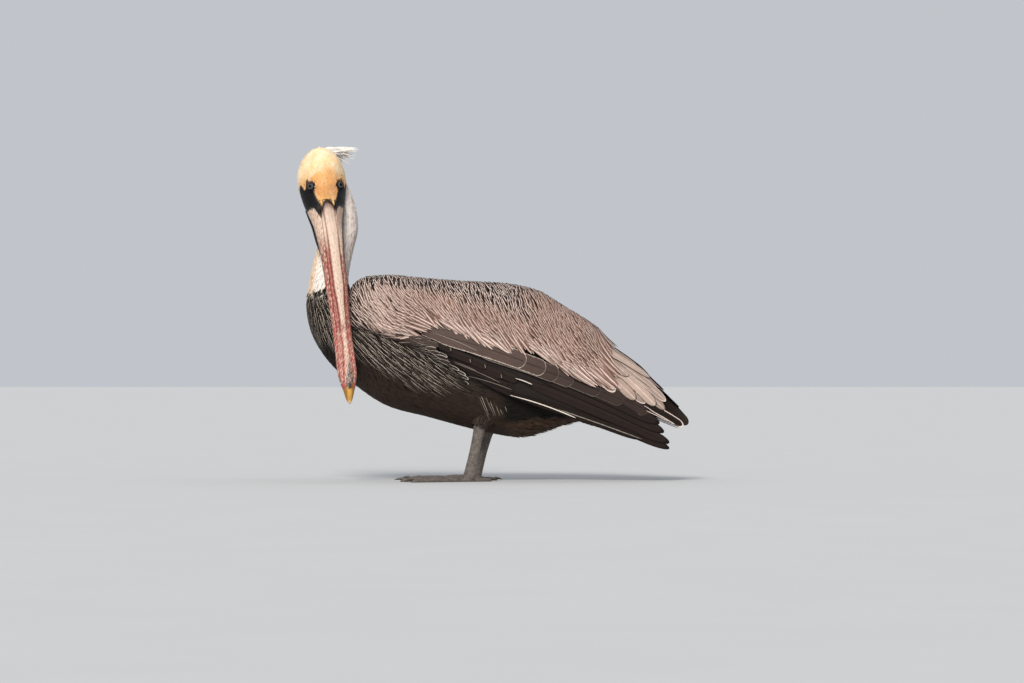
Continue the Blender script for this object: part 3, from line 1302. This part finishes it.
def outward_sign(surface, p, step):
    """Which way round the surface's measures run, from one sample."""
    along, round_ = slopes(surface, p[:1], step)
    outward = surface(p[:1]) - surface(p[:1] + np.array([0, math.pi]))
    return float(np.sign(np.sum(np.cross(along, round_) * outward)))


def outside_head(points):
    s, across, up = to_head(points).T
    up = up - head_wide(s)
    inside = (np.hypot(across, up) < head_radius(s, np.arctan2(up, across)) - 3.0) & (s > -90) & (s < 30)
    return ~inside


def breast_coat():
    """Breast, belly and rump, with pale plumes over the breast."""
    coat = Coat("breast_coat")
    p, rng = scatter(torso, 0.3, 11.9, (6.0, 4.2), ALL_ROUND, 102)
    count, place = len(p), torso(p)
    rib, angle = p.T
    x, y, z = place.T
    under = np.sin(angle)
    length = 20 + 8 * smooth(9, 5, rib) + rng.uniform(-3, 3, count)
    length = length * (0.62 + 0.38 * smooth(11.6, 8.5, rib))
    slant = 0.34 * smooth(3, 7, rib) + 0.3 * smooth(5, 7.5, rib)
    droop = np.where(np.cos(angle) < 0, -1.0, 1.0) * slant * np.abs(np.cos(angle))
    turn = math.pi + droop + rng.normal(0, 0.09, count)
    ragged = smooth(35, 60, x) * smooth(150, 125, x) * smooth(-0.5, -0.9, under)
    tips = 0.2 + rng.uniform(-0.6, 0.5, count)
    tips = tips + 4.5 * ragged * np.abs(np.sin(37.0 * x + 11.0 * y)) ** 3
    lift = (BODY_ROOT, BODY_ROOT + 2.2, BODY_ROOT + 3.6, BODY_ROOT + 4.4 + 0.3 * tips, tips)
    centre, normal = lay(torso, p, TORSO_STEP, turn, length, lift)
    field = vary(torso_tint(place, np.minimum(rib, 11.2), angle), rng, 0.16, count)
    streaky = smooth(4.5, 6.5, rib) * smooth(-8, 8, z - streak_floor(x)) * rng.uniform(0.0, 0.35, count)
    streak = blend(field * 1.3, BREAST_STREAK, np.clip(streaky, 0, 0.95))
    width = 4.6 + 2.4 * smooth(-0.5, -0.9, under) + 1.6 * smooth(8, 4, rib)
    marks = (field, streak, field * 0.7, plan(0.08, 0.1, length))
    rump = (x > 120) & (under > 0)
    keep = (clear_of_wings(place, 26.0) | rump) & (rib < NECK_EDGE + rng.uniform(-0.2, 0.15, count))
    keep &= clear_of_wings(centre[:, -1], 30.0) | rump
    coat.add(centre, normal, width, POINTED, marks, spots(p, (0, 12), ALL_ROUND), keep)
    breast_plumes(coat)
    return coat


plume_fall = Curve((-240, 72), (-215, 68), (-180, 50), (-130, 42), (-60, 38), (0, 32))


def breast_plumes(coat):
    """Thin pale plumes over the dark breast, falling back towards the wing."""
    p, rng = scatter(torso, 4.6, 11.7, (12.0, 5.2), ALL_ROUND, 103)
    place = torso(p)
    x, z = place[:, 0], place[:, 2]
    fade = smooth(-9, 14, z - streak_floor(x)) * smooth(-25, -60, x)
    keep = clear_of_wings(place, 14.0 + 14.0 * smooth(-110, -140, x)) & (rng.uniform(0, 1, len(p)) < fade)
    p, x, fade = p[keep], x[keep], fade[keep]
    count = len(p)
    fall = plume_fall(x) * RADIANS + rng.normal(0, 0.05, count)
    ways = np.stack([np.cos(fall), 0 * fall, -np.sin(fall)], -1)
    first, second = bearings(*slopes(torso, p, TORSO_STEP))
    turn = np.arctan2(np.sum(ways * second, -1), np.sum(ways * first, -1))
    length = rng.uniform(22, 36, count)
    centre, normal = lay(torso, p, TORSO_STEP, turn, length, (-3.6, -1.0, 0.1, 0.5, 0.7, 0.6, 0.2))
    tint = blend(BREAST_STREAK * 0.5, BREAST_STREAK, fade * rng.uniform(0.4, 1, count))
    marks = (tint, tint, tint * 0.6, plan(0.3, 0.2, length))
    ends = centre[:, -1]
    clear = clear_of_wings(ends, 8.0 + 16.0 * smooth(-105, -130, ends[:, 0]))
    coat.add(centre, normal, rng.uniform(0.45, 0.75, count), PLUME, marks,
             spots(p, (0, 12), ALL_ROUND), clear)


def head_coat():
    """Short dense feathers swept back over crown and cheeks, and the crest."""
    coat = Coat("head_coat")
    p, rng = scatter(head, 12.0, -89.5, (1.9, 1.75), ALL_ROUND, 201)
    count, place, s = len(p), head(p), p[:, 0]
    inside = bareness(place)
    length = np.clip(3.6 + 3.4 * smooth(-10, -70, s), 3.2, 8) + rng.uniform(-0.5, 0.9, count)
    length = length * smooth(6, -10, inside).clip(0.65, 1)
    turn = math.pi + rng.normal(0, 0.16, count)
    lift = (-2.3, -1.4, -0.7, -0.1 + rng.uniform(-0.2, 0.6, count))
    centre, normal = lay(head, p, (0.3, 0.02), turn, length, lift)
    field = vary(head_tint(place), rng, 0.08, count)
    dashed = rng.uniform(0, 1, count) < 0.25 * smooth(-55, -20, s)
    streak = np.where(dashed[:, None], blend(field, DASH, 0.7), np.minimum(field * 1.08, 1))
    marks = (np.minimum(field, 1), streak, field * 0.86, plan(0.22, 0.2, length))
    up = to_head(place)[:, 2]
    keep = (inside + rng.uniform(-1.2, 1.2, count) < 0) & (s < 10.5) & (up > -66) & outside_torso(place)
    coat.add(centre, normal, 1.9, PLUME, marks, spots(p, (-91, 13), ALL_ROUND), keep)
    add_crest(coat)
    return coat


def outside_torso(points):
    """Whether head points are clear of the neck's inside."""
    middle = neck_line(np.linspace(12, 19, 60))
    return np.linalg.norm(points[:, None] - middle[None], axis=-1).min(1) > 21


CREST_ROOT = (-84, -4, -12)
CREST_TIPS = np.array([[-171, 22, 497.5], [-176, 26, 489], [-186, 30, 479]], float)


def add_crest(coat):
    """White plumes blown back off the nape."""
    rng = np.random.default_rng(202)
    count = 420
    which = rng.integers(0, 3, count)
    spread = rng.uniform(-1, 1, (count, 2))
    along, across, up = CREST_ROOT
    root = from_head(along + 6 * spread[:, 0] ** 2, across + 8 * spread[:, 0], up - 4 + 9 * spread[:, 1])
    tip = CREST_TIPS[which] + rng.normal(0, 1, (count, 3)) * np.array([5, 2.2, 2.4])
    tip = root + (tip - root) * rng.uniform(0.2, 1.0, (count, 1))
    share = np.linspace(0, 1, 7)[None, :, None]
    centre = root[:, None] * (1 - share) + tip[:, None] * share
    centre[..., 2] += (4.5 * np.sin(share[..., 0] * math.pi)) * rng.uniform(0.2, 1, (count, 1))
    normal = unit(np.array([0.2, -1, 0.5])) + rng.normal(0, 0.3, (count, 1, 3))
    length = np.linalg.norm(tip - root, axis=1)
    field = vary(CREST, rng, 0.05, count)
    marks = (np.minimum(field, 1), np.minimum(field * 1.03, 1), field * 0.93, plan(0.1, 0.1, length))
    coat.add(centre, unit(normal), rng.uniform(1.2, 2.8, count), PLUME, marks, 0.5 + 0.4 * spread)


# How far feathers turn from the line of the wing, in degrees, by share of the way down.
wing_turn = Curve((0, 60), (0.2, 72), (0.3, 66), (0.42, 49), (0.55, 36), (0.7, 18), (0.9, 5), (1, 0))
turn_fade = Curve((-190, 0.8), (-120, 1), (60, 0.95), (110, 0.7), (160, 0.42), (220, 0.3), (330, 0.2))


def silver_coat(hand):
    """Scapulars, lesser and median coverts: small at the shoulder, long and broad behind."""
    side = SIDES[hand]
    coat = Coat(f"silver_coat_{hand}")
    surface = lambda p: wing(p, side)
    border = lambda x: silver_edge(x) + wing_lift(x, side)
    p, rng = scatter(surface, -187, 190, (6.8, 5.6), (0.0, 1.0), 301 + side)
    place = surface(p)
    keep = place[:, 2] > border(p[:, 0]) + 3 + rng.uniform(-2, 2, len(p))
    p, place = p[keep], place[keep]
    x, share = p.T
    count = len(p)
    middle = smooth(0.0, 0.1, share)
    turn = wing_turn(share) * turn_fade(x) * middle * RADIANS + rng.normal(0, 0.085, count)
    turn = turn + 0.14 * ripple(place, 45, 72) + 0.15 * smooth(-95, -140, x) + 0.45 * smooth(-138, -160, x)
    length = 26 + 12 * smooth(0.1, 0.5, share) + 16 * smooth(60, 190, x) + rng.uniform(-3, 4, count)
    length = length * (0.6 + 0.4 * smooth(-188, -120, x))
    width = 4.9 + 1.1 * smooth(0.3, 0.7, share) + 2.6 * smooth(80, 190, x) + 1.6 * (1 - middle)
    width = width * (0.8 + 0.2 * smooth(-185, -120, x))
    lift = (-6.2, -4.4, -3.0, -2.0, -1.3, 0.4 + rng.uniform(-0.4, 0.8, count) - 1.0)
    centre, normal = lay(surface, p, WING_STEP, turn, length, lift, -side)
    marks = silver_marks(place, x, share, length, rng)
    tips = centre[:, -1]
    keep = tips[:, 2] > border(tips[:, 0]) - rng.uniform(0, 4, count)
    coat.add(centre, normal, width, POINTED, marks, spots(p, (WING_FROM, WING_TO), (0, 1)), keep, columns=5)
    fill = (SILVER, SILVER_PALE, SILVER_DARK * 1.5, 0.16, 0.2)
    long_feathers(coat, BORDER_FILL, side, rng, fill, 0.02, tip=0.7)
    return coat


def silver_marks(place, x, share, length, rng):
    """Dark with a thin pale middle on top and in front, silver below and behind, palest at the border."""
    count = len(place)
    broad = smooth(0.27, 0.5, share) * smooth(-190, -140, x)
    broad = np.maximum(broad, smooth(40, 120, x))
    near_edge = smooth(34, 8, place[:, 2] - silver_edge(x))
    field = paint(SILVER * 0.5, (SILVER, broad), (
        SILVER_PALE * 0.8, np.maximum(smooth(-60, -150, x) * broad * 0.4, near_edge * 0.4)))
    field = vary(field * (0.95 + 0.14 * ripple(place, 50, 71)[:, None]), rng, 0.18, count)
    streak = blend(SILVER_PALE * 0.95, SILVER_PALE * 1.12, np.maximum(near_edge, 1 - broad))
    streak = vary(streak, rng, 0.2, count)
    rim = vary(blend(SILVER_DARK, SILVER * 0.38, broad * 0.45), rng, 0.3, count)
    rim_width = 0.7 - 0.47 * broad - 0.06 * near_edge + rng.uniform(-0.1, 0.08, count)
    streak_width = 0.2 - 0.08 * broad + 0.08 * rng.uniform(0, 1, count)
    return field, streak, rim, plan(streak_width, rim_width, length, 0.0)


# Long feathers of the folded wing: tip x, z; length; degrees below level; width; and its layer, each
# lying under the one before.
BORDER_FILL = [
    (-36, 226.5, 46, 38, 7.5, -1.3), (-43, 228, 44, 37, 7.5, -1.1), (-50, 229, 42, 35, 7.5, -0.9),
    (-30, 225.5, 42, 40, 6.5, -1.2), (-70, 221, 34, 30, 6, -1.0), (-78, 220, 34, 29, 6, -0.9),
    (79, 199, 44, 38, 7, -1.2), (88, 195, 44, 38, 7, -1.0), (96, 190, 44, 38, 7, -0.9),
]
TERTIALS = [
    (237, 181.4, 80, 36, 17, 2), (253, 169.6, 85, 34, 17, 1), (270, 155.5, 90, 32, 18, 0),
    (281, 138.4, 92, 36, 18, 2), (293, 120.6, 100, 40, 17, 1), (292, 107.3, 100, 44, 15, 3),
    (278, 113.2, 95, 44, 17, 2), (263, 117.7, 95, 43, 17, 4), (248, 122.1, 92, 43, 17, 3),
    (233, 129.5, 90, 43, 17, 5), (217, 134.7, 88, 43, 17, 4), (202, 137.7, 86, 44, 17, 6),
    (187, 142.1, 84, 44, 16, 5), (268, 135.5, 88, 40, 17, 3), (254, 144.4, 88, 40, 17, 4),
    (238, 157.7, 85, 40, 17, 3), (220, 172.5, 80, 40, 17, 4), (247, 134.0, 85, 42, 16, 5),
    (229, 147.3, 85, 42, 17, 6), (211, 159.2, 80, 42, 17, 5),
]
SECONDARIES = [
    (84, 178.4, 160, 17, 27, 0), (113, 166.6, 150, 18, 26, 1), (132, 157.7, 140, 18, 25, 2),
    (155, 149.5, 135, 19, 25, 3), (195, 134.7, 130, 20, 24, 4), (230, 120.6, 125, 21, 23, 5),
    (268, 105.1, 125, 23, 22, 6),
]
HAND_COVERTS = [
    (-26, 196.2, 34, 18, 12, 4), (4, 179.9, 52, 18, 13, 4), (26, 171.0, 62, 18, 13, 5),
    (50, 157.0, 74, 18.5, 14, 6), (73, 150.3, 85, 18.5, 14, 7), (41, 148.8, 72, 19, 10, 6),
    (57, 141.4, 76, 19, 10, 7), (66, 134.0, 80, 19, 10, 8),
]
PRIMARIES = {
    "left": [(284, 86.6, 210, 24, 18, 6), (291, 73.2, 230, 24, 17, 7), (299, 56.9, 250, 22.5, 17, 8),
             (299, 48.0, 255, 22, 15, 9), (247, 67.3, 230, 19, 15, 10)],
    "right": [(268, 122, 190, 23, 20, 4), (262, 113, 205, 23, 20, 4.7), (252, 104, 215, 22, 19, 5.4),
              (240, 96, 215, 21, 18, 6), (215, 92, 190, 20, 16, 6.6), (317, 114.0, 105, 40, 21, 5),
              (328, 83.7, 62, 49, 14, 6), (309, 93.5, 150, 37, 20, 7), (288, 96.6, 160, 30, 22, 8)],
}
OUTERMOST = [(257, 62.8, 207, 18.4, 12, 4)]
EDGED = [(319, 82.9, 66, 30, 11, 2), (299, 92.5, 44, 25, 8, 3)]
SHAFT_GLINT = [(93, 145.1, 26, 19.8, 3.0, 0), (158, 94.7, 103, 18.6, 3.6, 3)]
PALE_ENDS = [(-27, 194.7, 5, 75, 1.2, -1), (2, 177.7, 5, 75, 1.2, -1), (24, 169.6, 5, 75, 1.2, -1),
             (48, 154.7, 5, 75, 1.2, -1)]
PALE_SHAFTS = [(13, 194.0, 73, 22.4, 1.3, -2), (45, 147.3, 73, 21.8, 1.0, 3), (63, 136.2, 69, 15.9, 1.0, 4),
               (10, 164.4, 36, 20, 1.1, 3)]
MARGINALS = [
    (-59, 199.2, 16, 22, 5.5, 2), (-47, 190.3, 16, 22, 5.5, 2), (-33, 184.4, 16, 22, 5.5, 2),
    (-16, 165.1, 16, 22, 5.5, 2), (-6, 157.7, 16, 22, 5.5, 2), (-2, 151.8, 16, 22, 5.5, 2),
    (-2, 144.4, 16, 22, 5.5, 2),
]
QUILL, QUILL_RIM, QUILL_DARK = colour("#3b2f2b"), colour("#b3a498"), colour("#1b1412")
HAND, HAND_SHAFT = colour("#1f1714"), colour("#e3d8ca")
SECONDARY_FIELDS = (1.85, 1.6, 1.3, 1.2, 0.95, 0.85, 0.85)
SECONDARY_RIMS = (1.35, 1.0, 0.5, 0.42, 0.3, 0.22, 0.22)
TERTIAL, LESSER_TIP = colour("#a08c80"), colour("#dcd3c6")
LAYER = 0.62
PALE_LINE = QUILL_RIM * 0.45
SECONDARY_MARKS = (np.outer(SECONDARY_FIELDS, QUILL), QUILL_DARK, np.outer(SECONDARY_RIMS, QUILL_RIM),
                   0.025, 0.07)
# Rows; their field, streak and rim, and the widths of streak and rim; place in the bake; share of the tip.
FLIGHT_GROUPS = [
    (OUTERMOST, (HAND, HAND_SHAFT * 0.35, HAND, 0.09, 0.01), 0.21, 0.16),
    (SHAFT_GLINT, (HAND, HAND_SHAFT, HAND, 0.42, 0.1), 0.34, 0.16),
    (EDGED, (HAND * 0.8, HAND * 0.5, SILVER_PALE, 0.03, 0.2), 0.47, 0.16),
    (HAND_COVERTS, (HAND * 1.35, HAND * 0.6, HAND * 0.6, 0.05, 0.12), 0.6, 0.07),
    (PALE_ENDS + PALE_SHAFTS, (PALE_LINE, PALE_LINE, PALE_LINE, 0.3, 0.1), 0.97, 0.16),
    (SECONDARIES, SECONDARY_MARKS, 0.73, 0.07),
    (MARGINALS, (QUILL, QUILL * 1.3, colour("#d9d2c4"), 0.05, 0.25), 0.86, 0.3),
]


def rounded(tip):
    """Outline of a long vane whose rounded tip takes the given share of it."""
    def outline(share):
        past = within((share - 1 + tip) / tip)
        return (0.5 + 0.5 * smooth(0, 0.3, share)) * np.sqrt(1 - past ** 2)
    return outline


def long_feathers(coat, rows, side, rng, marks, cell_row, tip=0.16, lifted=True):
    """Vanes laid on the wing from tip, length and slope; lifted with the right wing or not."""
    tip_x, tip_z, length, slope, width, layer = np.array(rows, float).T
    share = 1 - (1 - np.linspace(0, 1, 16)) ** 1.8
    x = tip_x[:, None] - (1 - share) * (length * np.cos(slope * RADIANS))[:, None]
    z = tip_z[:, None] + (1 - share) * (length * np.sin(slope * RADIANS))[:, None]
    z = z + np.minimum(2.5, 0.025 * length)[:, None] * np.sin(share * math.pi)
    if lifted:
        z = z + wing_lift(x, side)
    p = np.stack([x, np.minimum(z, wing_top(x) - 3)], -1)
    surface = lambda q: wing_at(q, side)
    normal = unit(np.cross(*slopes(surface, p, (1.0, 1.0)))) * side
    normal = normal * np.sign(np.sum(normal * np.array([0, side, 0.3]), -1, keepdims=True))
    sink = -2.4 - LAYER * layer[:, None] + 1.8 * share
    count = len(rows)
    tones = [vary(np.resize(tint, (count, 3)), rng, 0.1, count) for tint in marks[:3]]
    tones.append(plan(*marks[3:], length, tip))
    coat.add(surface(p) + normal * sink[..., None], normal, width, rounded(tip), tones,
             row_of(count, cell_row), camber=0.05, columns=9, cell_size=(0.9 / count, 0.12), share=share)


def flight_coat(hand):
    """Primaries, secondaries and their coverts."""
    side = SIDES[hand]
    rng = np.random.default_rng(401 + side)
    coat = Coat(f"flight_coat_{hand}")
    dark = (HAND * 1.3, HAND * 0.5, HAND * 0.4, 0.03, 0.16)
    long_feathers(coat, PRIMARIES[hand], side, rng, dark, 0.08, lifted=False)
    for rows, marks, cell_row, tip in FLIGHT_GROUPS:
        if side < 0 or rows is not EDGED:
            long_feathers(coat, rows, side, rng, marks, cell_row, tip)
    return coat


def tertial_coat(hand):
    rng = np.random.default_rng(451 + SIDES[hand])
    coat = Coat(f"tertial_coat_{hand}")
    rims = np.array([SILVER_DARK, SILVER_PALE * 1.1, SILVER_DARK * 1.6])
    fields = np.array([TERTIAL, TERTIAL * 0.8, TERTIAL * 1.1, TERTIAL * 0.9])
    marks = (fields, SILVER_PALE, rims, 0.05, 0.1)
    long_feathers(coat, TERTIALS, SIDES[hand], rng, marks, 0.5, tip=0.2)
    return coat


def lesser_coat(hand):
    """Small dark coverts under the silver border, the lowest tipped with white."""
    side = SIDES[hand]
    coat = Coat(f"lesser_coat_{hand}")
    surface = lambda p: wing(p, side)
    p, rng = scatter(surface, -180, 8, (8.0, 6.5), (0.3, 1.0), 501 + side)
    z = surface(p)[:, 2]
    keep = (z < silver_edge(p[:, 0]) + 10) & (p[:, 0] < -72 + 0.81 * (222 - z))
    p, z = p[keep], z[keep]
    x, count = p[:, 0], len(p)
    front = smooth(-100, -128, x)
    length = rng.uniform(15, 20, count) + 8 * front
    lift = (-6.0, -4.6, -3.6, -2.8, -2.2 + rng.uniform(-0.3, 0.6, count))
    turn = rng.normal(0.0, 0.07, count) + 0.5 * front
    centre, normal = lay(surface, p, WING_STEP, turn, length, lift, -side)
    low = smooth(20, 10, z - wing_edge(x)) * smooth(-110, -50, x)
    field = vary(QUILL * 1.25, rng, 0.2, count)
    rim = blend(field * 0.7, LESSER_TIP, low * rng.uniform(0.6, 1, count))
    streak = blend(field * 0.7, SILVER_PALE * 0.8, front * rng.uniform(0.5, 1, count))
    marks = (field * (1 - 0.5 * front[:, None]), streak, rim,
             plan(0.06 + 0.22 * front, 0.08 + 0.16 * low, length, 0.3))
    width = rng.uniform(7.5, 9.5, count) * (1 - 0.45 * front)
    coat.add(centre, normal, width, ROUNDED, marks, spots(p, (-190, 60), (0.3, 1)), columns=5)
    return coat


TAIL_ROOT, TAIL_UP = np.array([196, 0, 128]), np.array([0.3, 0, 0.95])
TAIL_LENGTH, TAIL_DROP, TAIL_SPREAD = 132, 19 * RADIANS, 15 * RADIANS


def fan(part):
    """The ways that tail feathers point, part being -1 to 1 across the fan."""
    spread = part * TAIL_SPREAD
    return np.stack([math.cos(TAIL_DROP) * np.cos(spread), np.sin(spread),
                     np.full(len(part), -math.sin(TAIL_DROP))], -1)


def tail_coat():
    """Tail feathers in a shallow fan, the coverts over their bases, and the rump."""
    coat = Coat("tail_coat")
    rng = np.random.default_rng(601)
    count = 18
    part = np.linspace(-1, 1, count)
    share = 1 - (1 - np.linspace(0, 1, 13)) ** 1.6
    start = TAIL_ROOT + np.stack([0 * part, part * 14, -2.5 * part ** 2], -1)
    length = TAIL_LENGTH * (1 - 0.05 * part ** 2)
    centre = start[:, None] + (share[None] * length[:, None])[..., None] * fan(part)[:, None]
    centre[..., 2] += -5 * part[:, None] ** 2 * share + 1.2 * (1 - np.abs(part))[:, None]
    tints = ((QUILL * 1.3, 0.12), (QUILL_DARK, 0.1), (QUILL_RIM * 0.4, 0.1))
    marks = [vary(tint, rng, amount, count) for tint, amount in tints]
    marks.append(plan(0.04, 0.1, length, 0.1))
    coat.add(centre, TAIL_UP, 25.0, rounded(0.1), marks, row_of(count, 0.3), camber=0.08, columns=7,
             cell_size=(0.9 / count, 0.5), share=share)
    tail_coverts(coat, rng)
    rump_feathers(coat, rng)
    return coat


def tail_coverts(coat, rng):
    """Shorter feathers over the bases of the tail feathers."""
    count = 15
    part = np.linspace(-0.95, 0.95, count)
    share = np.linspace(0, 1, 7)
    for start, length in ((16, 44), (-4, 40)):
        root = TAIL_ROOT + np.stack([start + 0 * part, part * 17, 7 - 3 * part ** 2 - 0.36 * start], -1)
        centre = root[:, None] + (share * length)[None, :, None] * fan(part)[:, None]
        centre[..., 2] -= 3.0 * share
        tints = (SILVER * 0.6, SILVER_PALE * 0.6, SILVER_DARK)
        marks = [vary(tint, rng, 0.15, count) for tint in tints]
        marks.append(plan(0.08, 0.15, np.full(count, length)))
        coat.add(centre, TAIL_UP, 13.0, ROUNDED, marks, row_of(count, 0.75 + 0.003 * start), camber=0.1,
                 columns=5)


def rump_feathers(coat, rng):
    """Feathers bridging the cleft between the two wings above the tail."""
    rows, lines = 13, 7
    count = rows * lines
    root_x = np.repeat(np.linspace(150, 246, rows), lines)
    root_y = np.tile(np.linspace(-20, 20, lines), rows) + rng.uniform(-2.5, 2.5, count)
    share = np.linspace(0, 1, 6)
    length = rng.uniform(36, 46, count)
    x = root_x[:, None] + length[:, None] * share
    y = root_y[:, None] * (1 + 0.1 * share)
    z = wing_top(x) - 9.5 + 2.5 * share - 0.006 * y ** 2
    fall = (wing_top(x + 5) - wing_top(x - 5)) / 10
    normal = unit(np.stack([-fall, 0.012 * y, 1 + 0 * x], -1))
    tints = (SILVER * 0.75, SILVER_PALE * 0.8, SILVER_DARK)
    marks = [vary(tint, rng, 0.15, count) for tint in tints]
    cells = spots(np.stack([root_x, root_y], -1), (130, 270), (-50, 50))
    coat.add(np.stack([x, y, z], -1), normal, rng.uniform(8, 11, count), POINTED,
             [*marks, plan(0.1, 0.2, length)], cells, camber=0.1, columns=5)


def thigh_coat():
    """Soft dark feathers down each thigh, and pale plumes on the flank above it."""
    coat = Coat("thigh_coat")
    for number, hand in enumerate(LEGS):
        surface = lambda p, hand=hand: thigh(p, hand)
        p, rng = scatter(surface, 0.1, 0.97, (4.2, 3.6), (0, 2 * math.pi), 701 + number)
        count = len(p)
        length = rng.uniform(9, 14, count) * (1 - 0.35 * p[:, 0])
        turn = rng.normal(0, 0.12, count)
        centre, normal = lay(surface, p, (0.01, 0.02), turn, length, (-3.4, -2.0, -0.8, 0.2))
        field = vary(THIGH, rng, 0.15, count)
        streak = blend(field * 1.3, BREAST_STREAK, rng.uniform(0, 0.15, count))
        marks = (field, streak, field * 0.75, plan(0.12, 0.1, length))
        cells = np.stack([0.5 * number + 0.5 * fit(p[:, 0], 0, 1), fit(p[:, 1], 0, 2 * math.pi)], -1)
        coat.add(centre, normal, 4.2, POINTED, marks, cells)
        add_flank(coat, hand, number)
    return coat


flank_length = Curve((10, 40), (24, 28), (39, 16), (55, 9))
flank_reach = Curve((60, 66), (90, 80), (120, 90), (160, 97))


def add_flank(coat, hand, number):
    """Thin greenish white plumes hanging from under the wing over the thigh."""
    side = SIDES[hand]
    rng = np.random.default_rng(751 + number)
    count = 13
    root = np.linspace(12, 52, count) + rng.uniform(-1.5, 1.5, count)
    top = wing_edge(root) - 22 + rng.uniform(-3, 6, count)
    length = flank_length(root) * rng.uniform(0.8, 1.15, count)
    share = np.linspace(0, 1, 7)
    lean = rng.normal(0.36, 0.05, count)
    x = root[:, None] + share * (length * np.sin(lean))[:, None]
    z = top[:, None] - share * (length * np.cos(lean))[:, None]
    y = side * (flank_reach(z) + rng.uniform(-3, 1.5, (count, 1)) - 1.5 * share)
    field = vary(FLANK, rng, 0.2, count)
    field[rng.uniform(0, 1, count) < 0.35] = FLANK_DARK
    marks = (field, field * 1.1, field * 0.6, plan(0.2, 0.3, length))
    cells = np.stack([0.25 + 0.5 * number + 0.2 * (root - 33) / 50, (top - 90) / 120], -1)
    coat.add(np.stack([x, y, z], -1), unit(np.array([0, side, 0.25])), rng.uniform(0.42, 0.6, count),
             PLUME, marks, cells)


def build_feathers():
    head_stuff = feather_material("head_feathers", 0.7, 0.25, 0.15)
    neck_stuff = feather_material("neck_feathers", 0.72, 0.25, 0.12)
    body_stuff = feather_material("body_feathers", 0.66, 0.0, 0.25)
    silver_stuff = feather_material("silver_feathers", 0.62, 0.05, 0.35)
    flight_stuff = feather_material("flight_feathers", 0.55, 0.0, 0.3)
    neck_coat().build(neck_stuff, "neck_feathers")
    breast_coat().build(body_stuff, "body_feathers")
    head_coat().build(head_stuff, "head_feathers", ["crest"])
    thigh_coat().build(body_stuff, "body_feathers")
    tail_coat().build(silver_stuff, "silver_feathers", ["tail"])
    for hand in LEGS:
        silver_coat(hand).build(silver_stuff, "silver_feathers", [f"wing_{hand}_coverts"])
        tertial_coat(hand).build(silver_stuff, "silver_feathers")
        flight_coat(hand).build(flight_stuff, "flight_feathers", [f"wing_{hand}_primaries"])
        lesser_coat(hand).build(flight_stuff, "flight_feathers", [f"wing_{hand}_secondaries"])


# ---------- floor, light and camera ----------
IMAGE_WIDTH = 1024
MM_PER_PIXEL, SENSOR = 1.5, 36.0
CAMERA_AT = np.array([63.0, -7000.0, 174.0])
FRAME_CENTRE_Z = 209.25
FLOOR_REACH = 30000


def build_floor():
    points = FLOOR_REACH * np.array([[-1, -1, 0], [1, -1, 0], [1, 1, 0], [-1, 1, 0]], float)
    floor = make_mesh("floor", points - SHIFT * np.array([0, 0, 1]), np.array([[0, 1, 2, 3]]))
    shader = Shader("floor", 0.9, Specular_IOR_Level=0.1)
    tint = shader.mix(shader.noise(6.0, 2.0), (0.58, 0.585, 0.59, 1), (0.61, 0.612, 0.615, 1))
    floor.data.materials.append(shader.finish(tint))


def aim(thing, target):
    way = Vector(target) - Vector(thing.location)
    thing.rotation_euler = way.to_track_quat("-Z", "Y").to_euler()


def build_lights():
    """An even pale sky and a soft sun from behind the camera."""
    world = bpy.data.worlds.new("studio")
    bpy.context.scene.world = world
    world.use_nodes = True
    sky = world.node_tree.nodes["Background"].inputs
    sky[0].default_value = (0.86, 0.9, 0.96, 1)
    sky[1].default_value = 0.62
    sun = bpy.data.lights.new("key", "SUN")
    sun.energy = 3.2
    sun.angle = 0.3
    sun.color = (1.0, 0.96, 0.9)
    lamp = add_to_scene("key", sun)
    lamp.location = (-0.45, -2.6, 1.8)
    aim(lamp, (0, 0, 0.25))


def build_camera():
    """The photo's view: level, from the bird's left."""
    camera = bpy.data.cameras.new("camera")
    camera.sensor_width = SENSOR
    camera.sensor_fit = "HORIZONTAL"
    camera.lens = SENSOR * -CAMERA_AT[1] / (IMAGE_WIDTH * MM_PER_PIXEL)
    camera.clip_end = 200
    thing = add_to_scene("camera", camera)
    thing.location = in_frame(CAMERA_AT)
    aim(thing, in_frame(np.array([CAMERA_AT[0], 0, FRAME_CENTRE_Z])))
    bpy.context.scene.camera = thing


build_camera()
build_floor()
build_lights()
build_skin()
build_bill()
eye_stuff = eye_material()
claw_stuff = horn_material("claw", 0.4, 0.2)
for hand in LEGS:
    build_eye(hand, eye_stuff)
    build_claws(hand, claw_stuff)
build_feathers()
bpy.context.scene.view_settings.view_transform = "Standard"
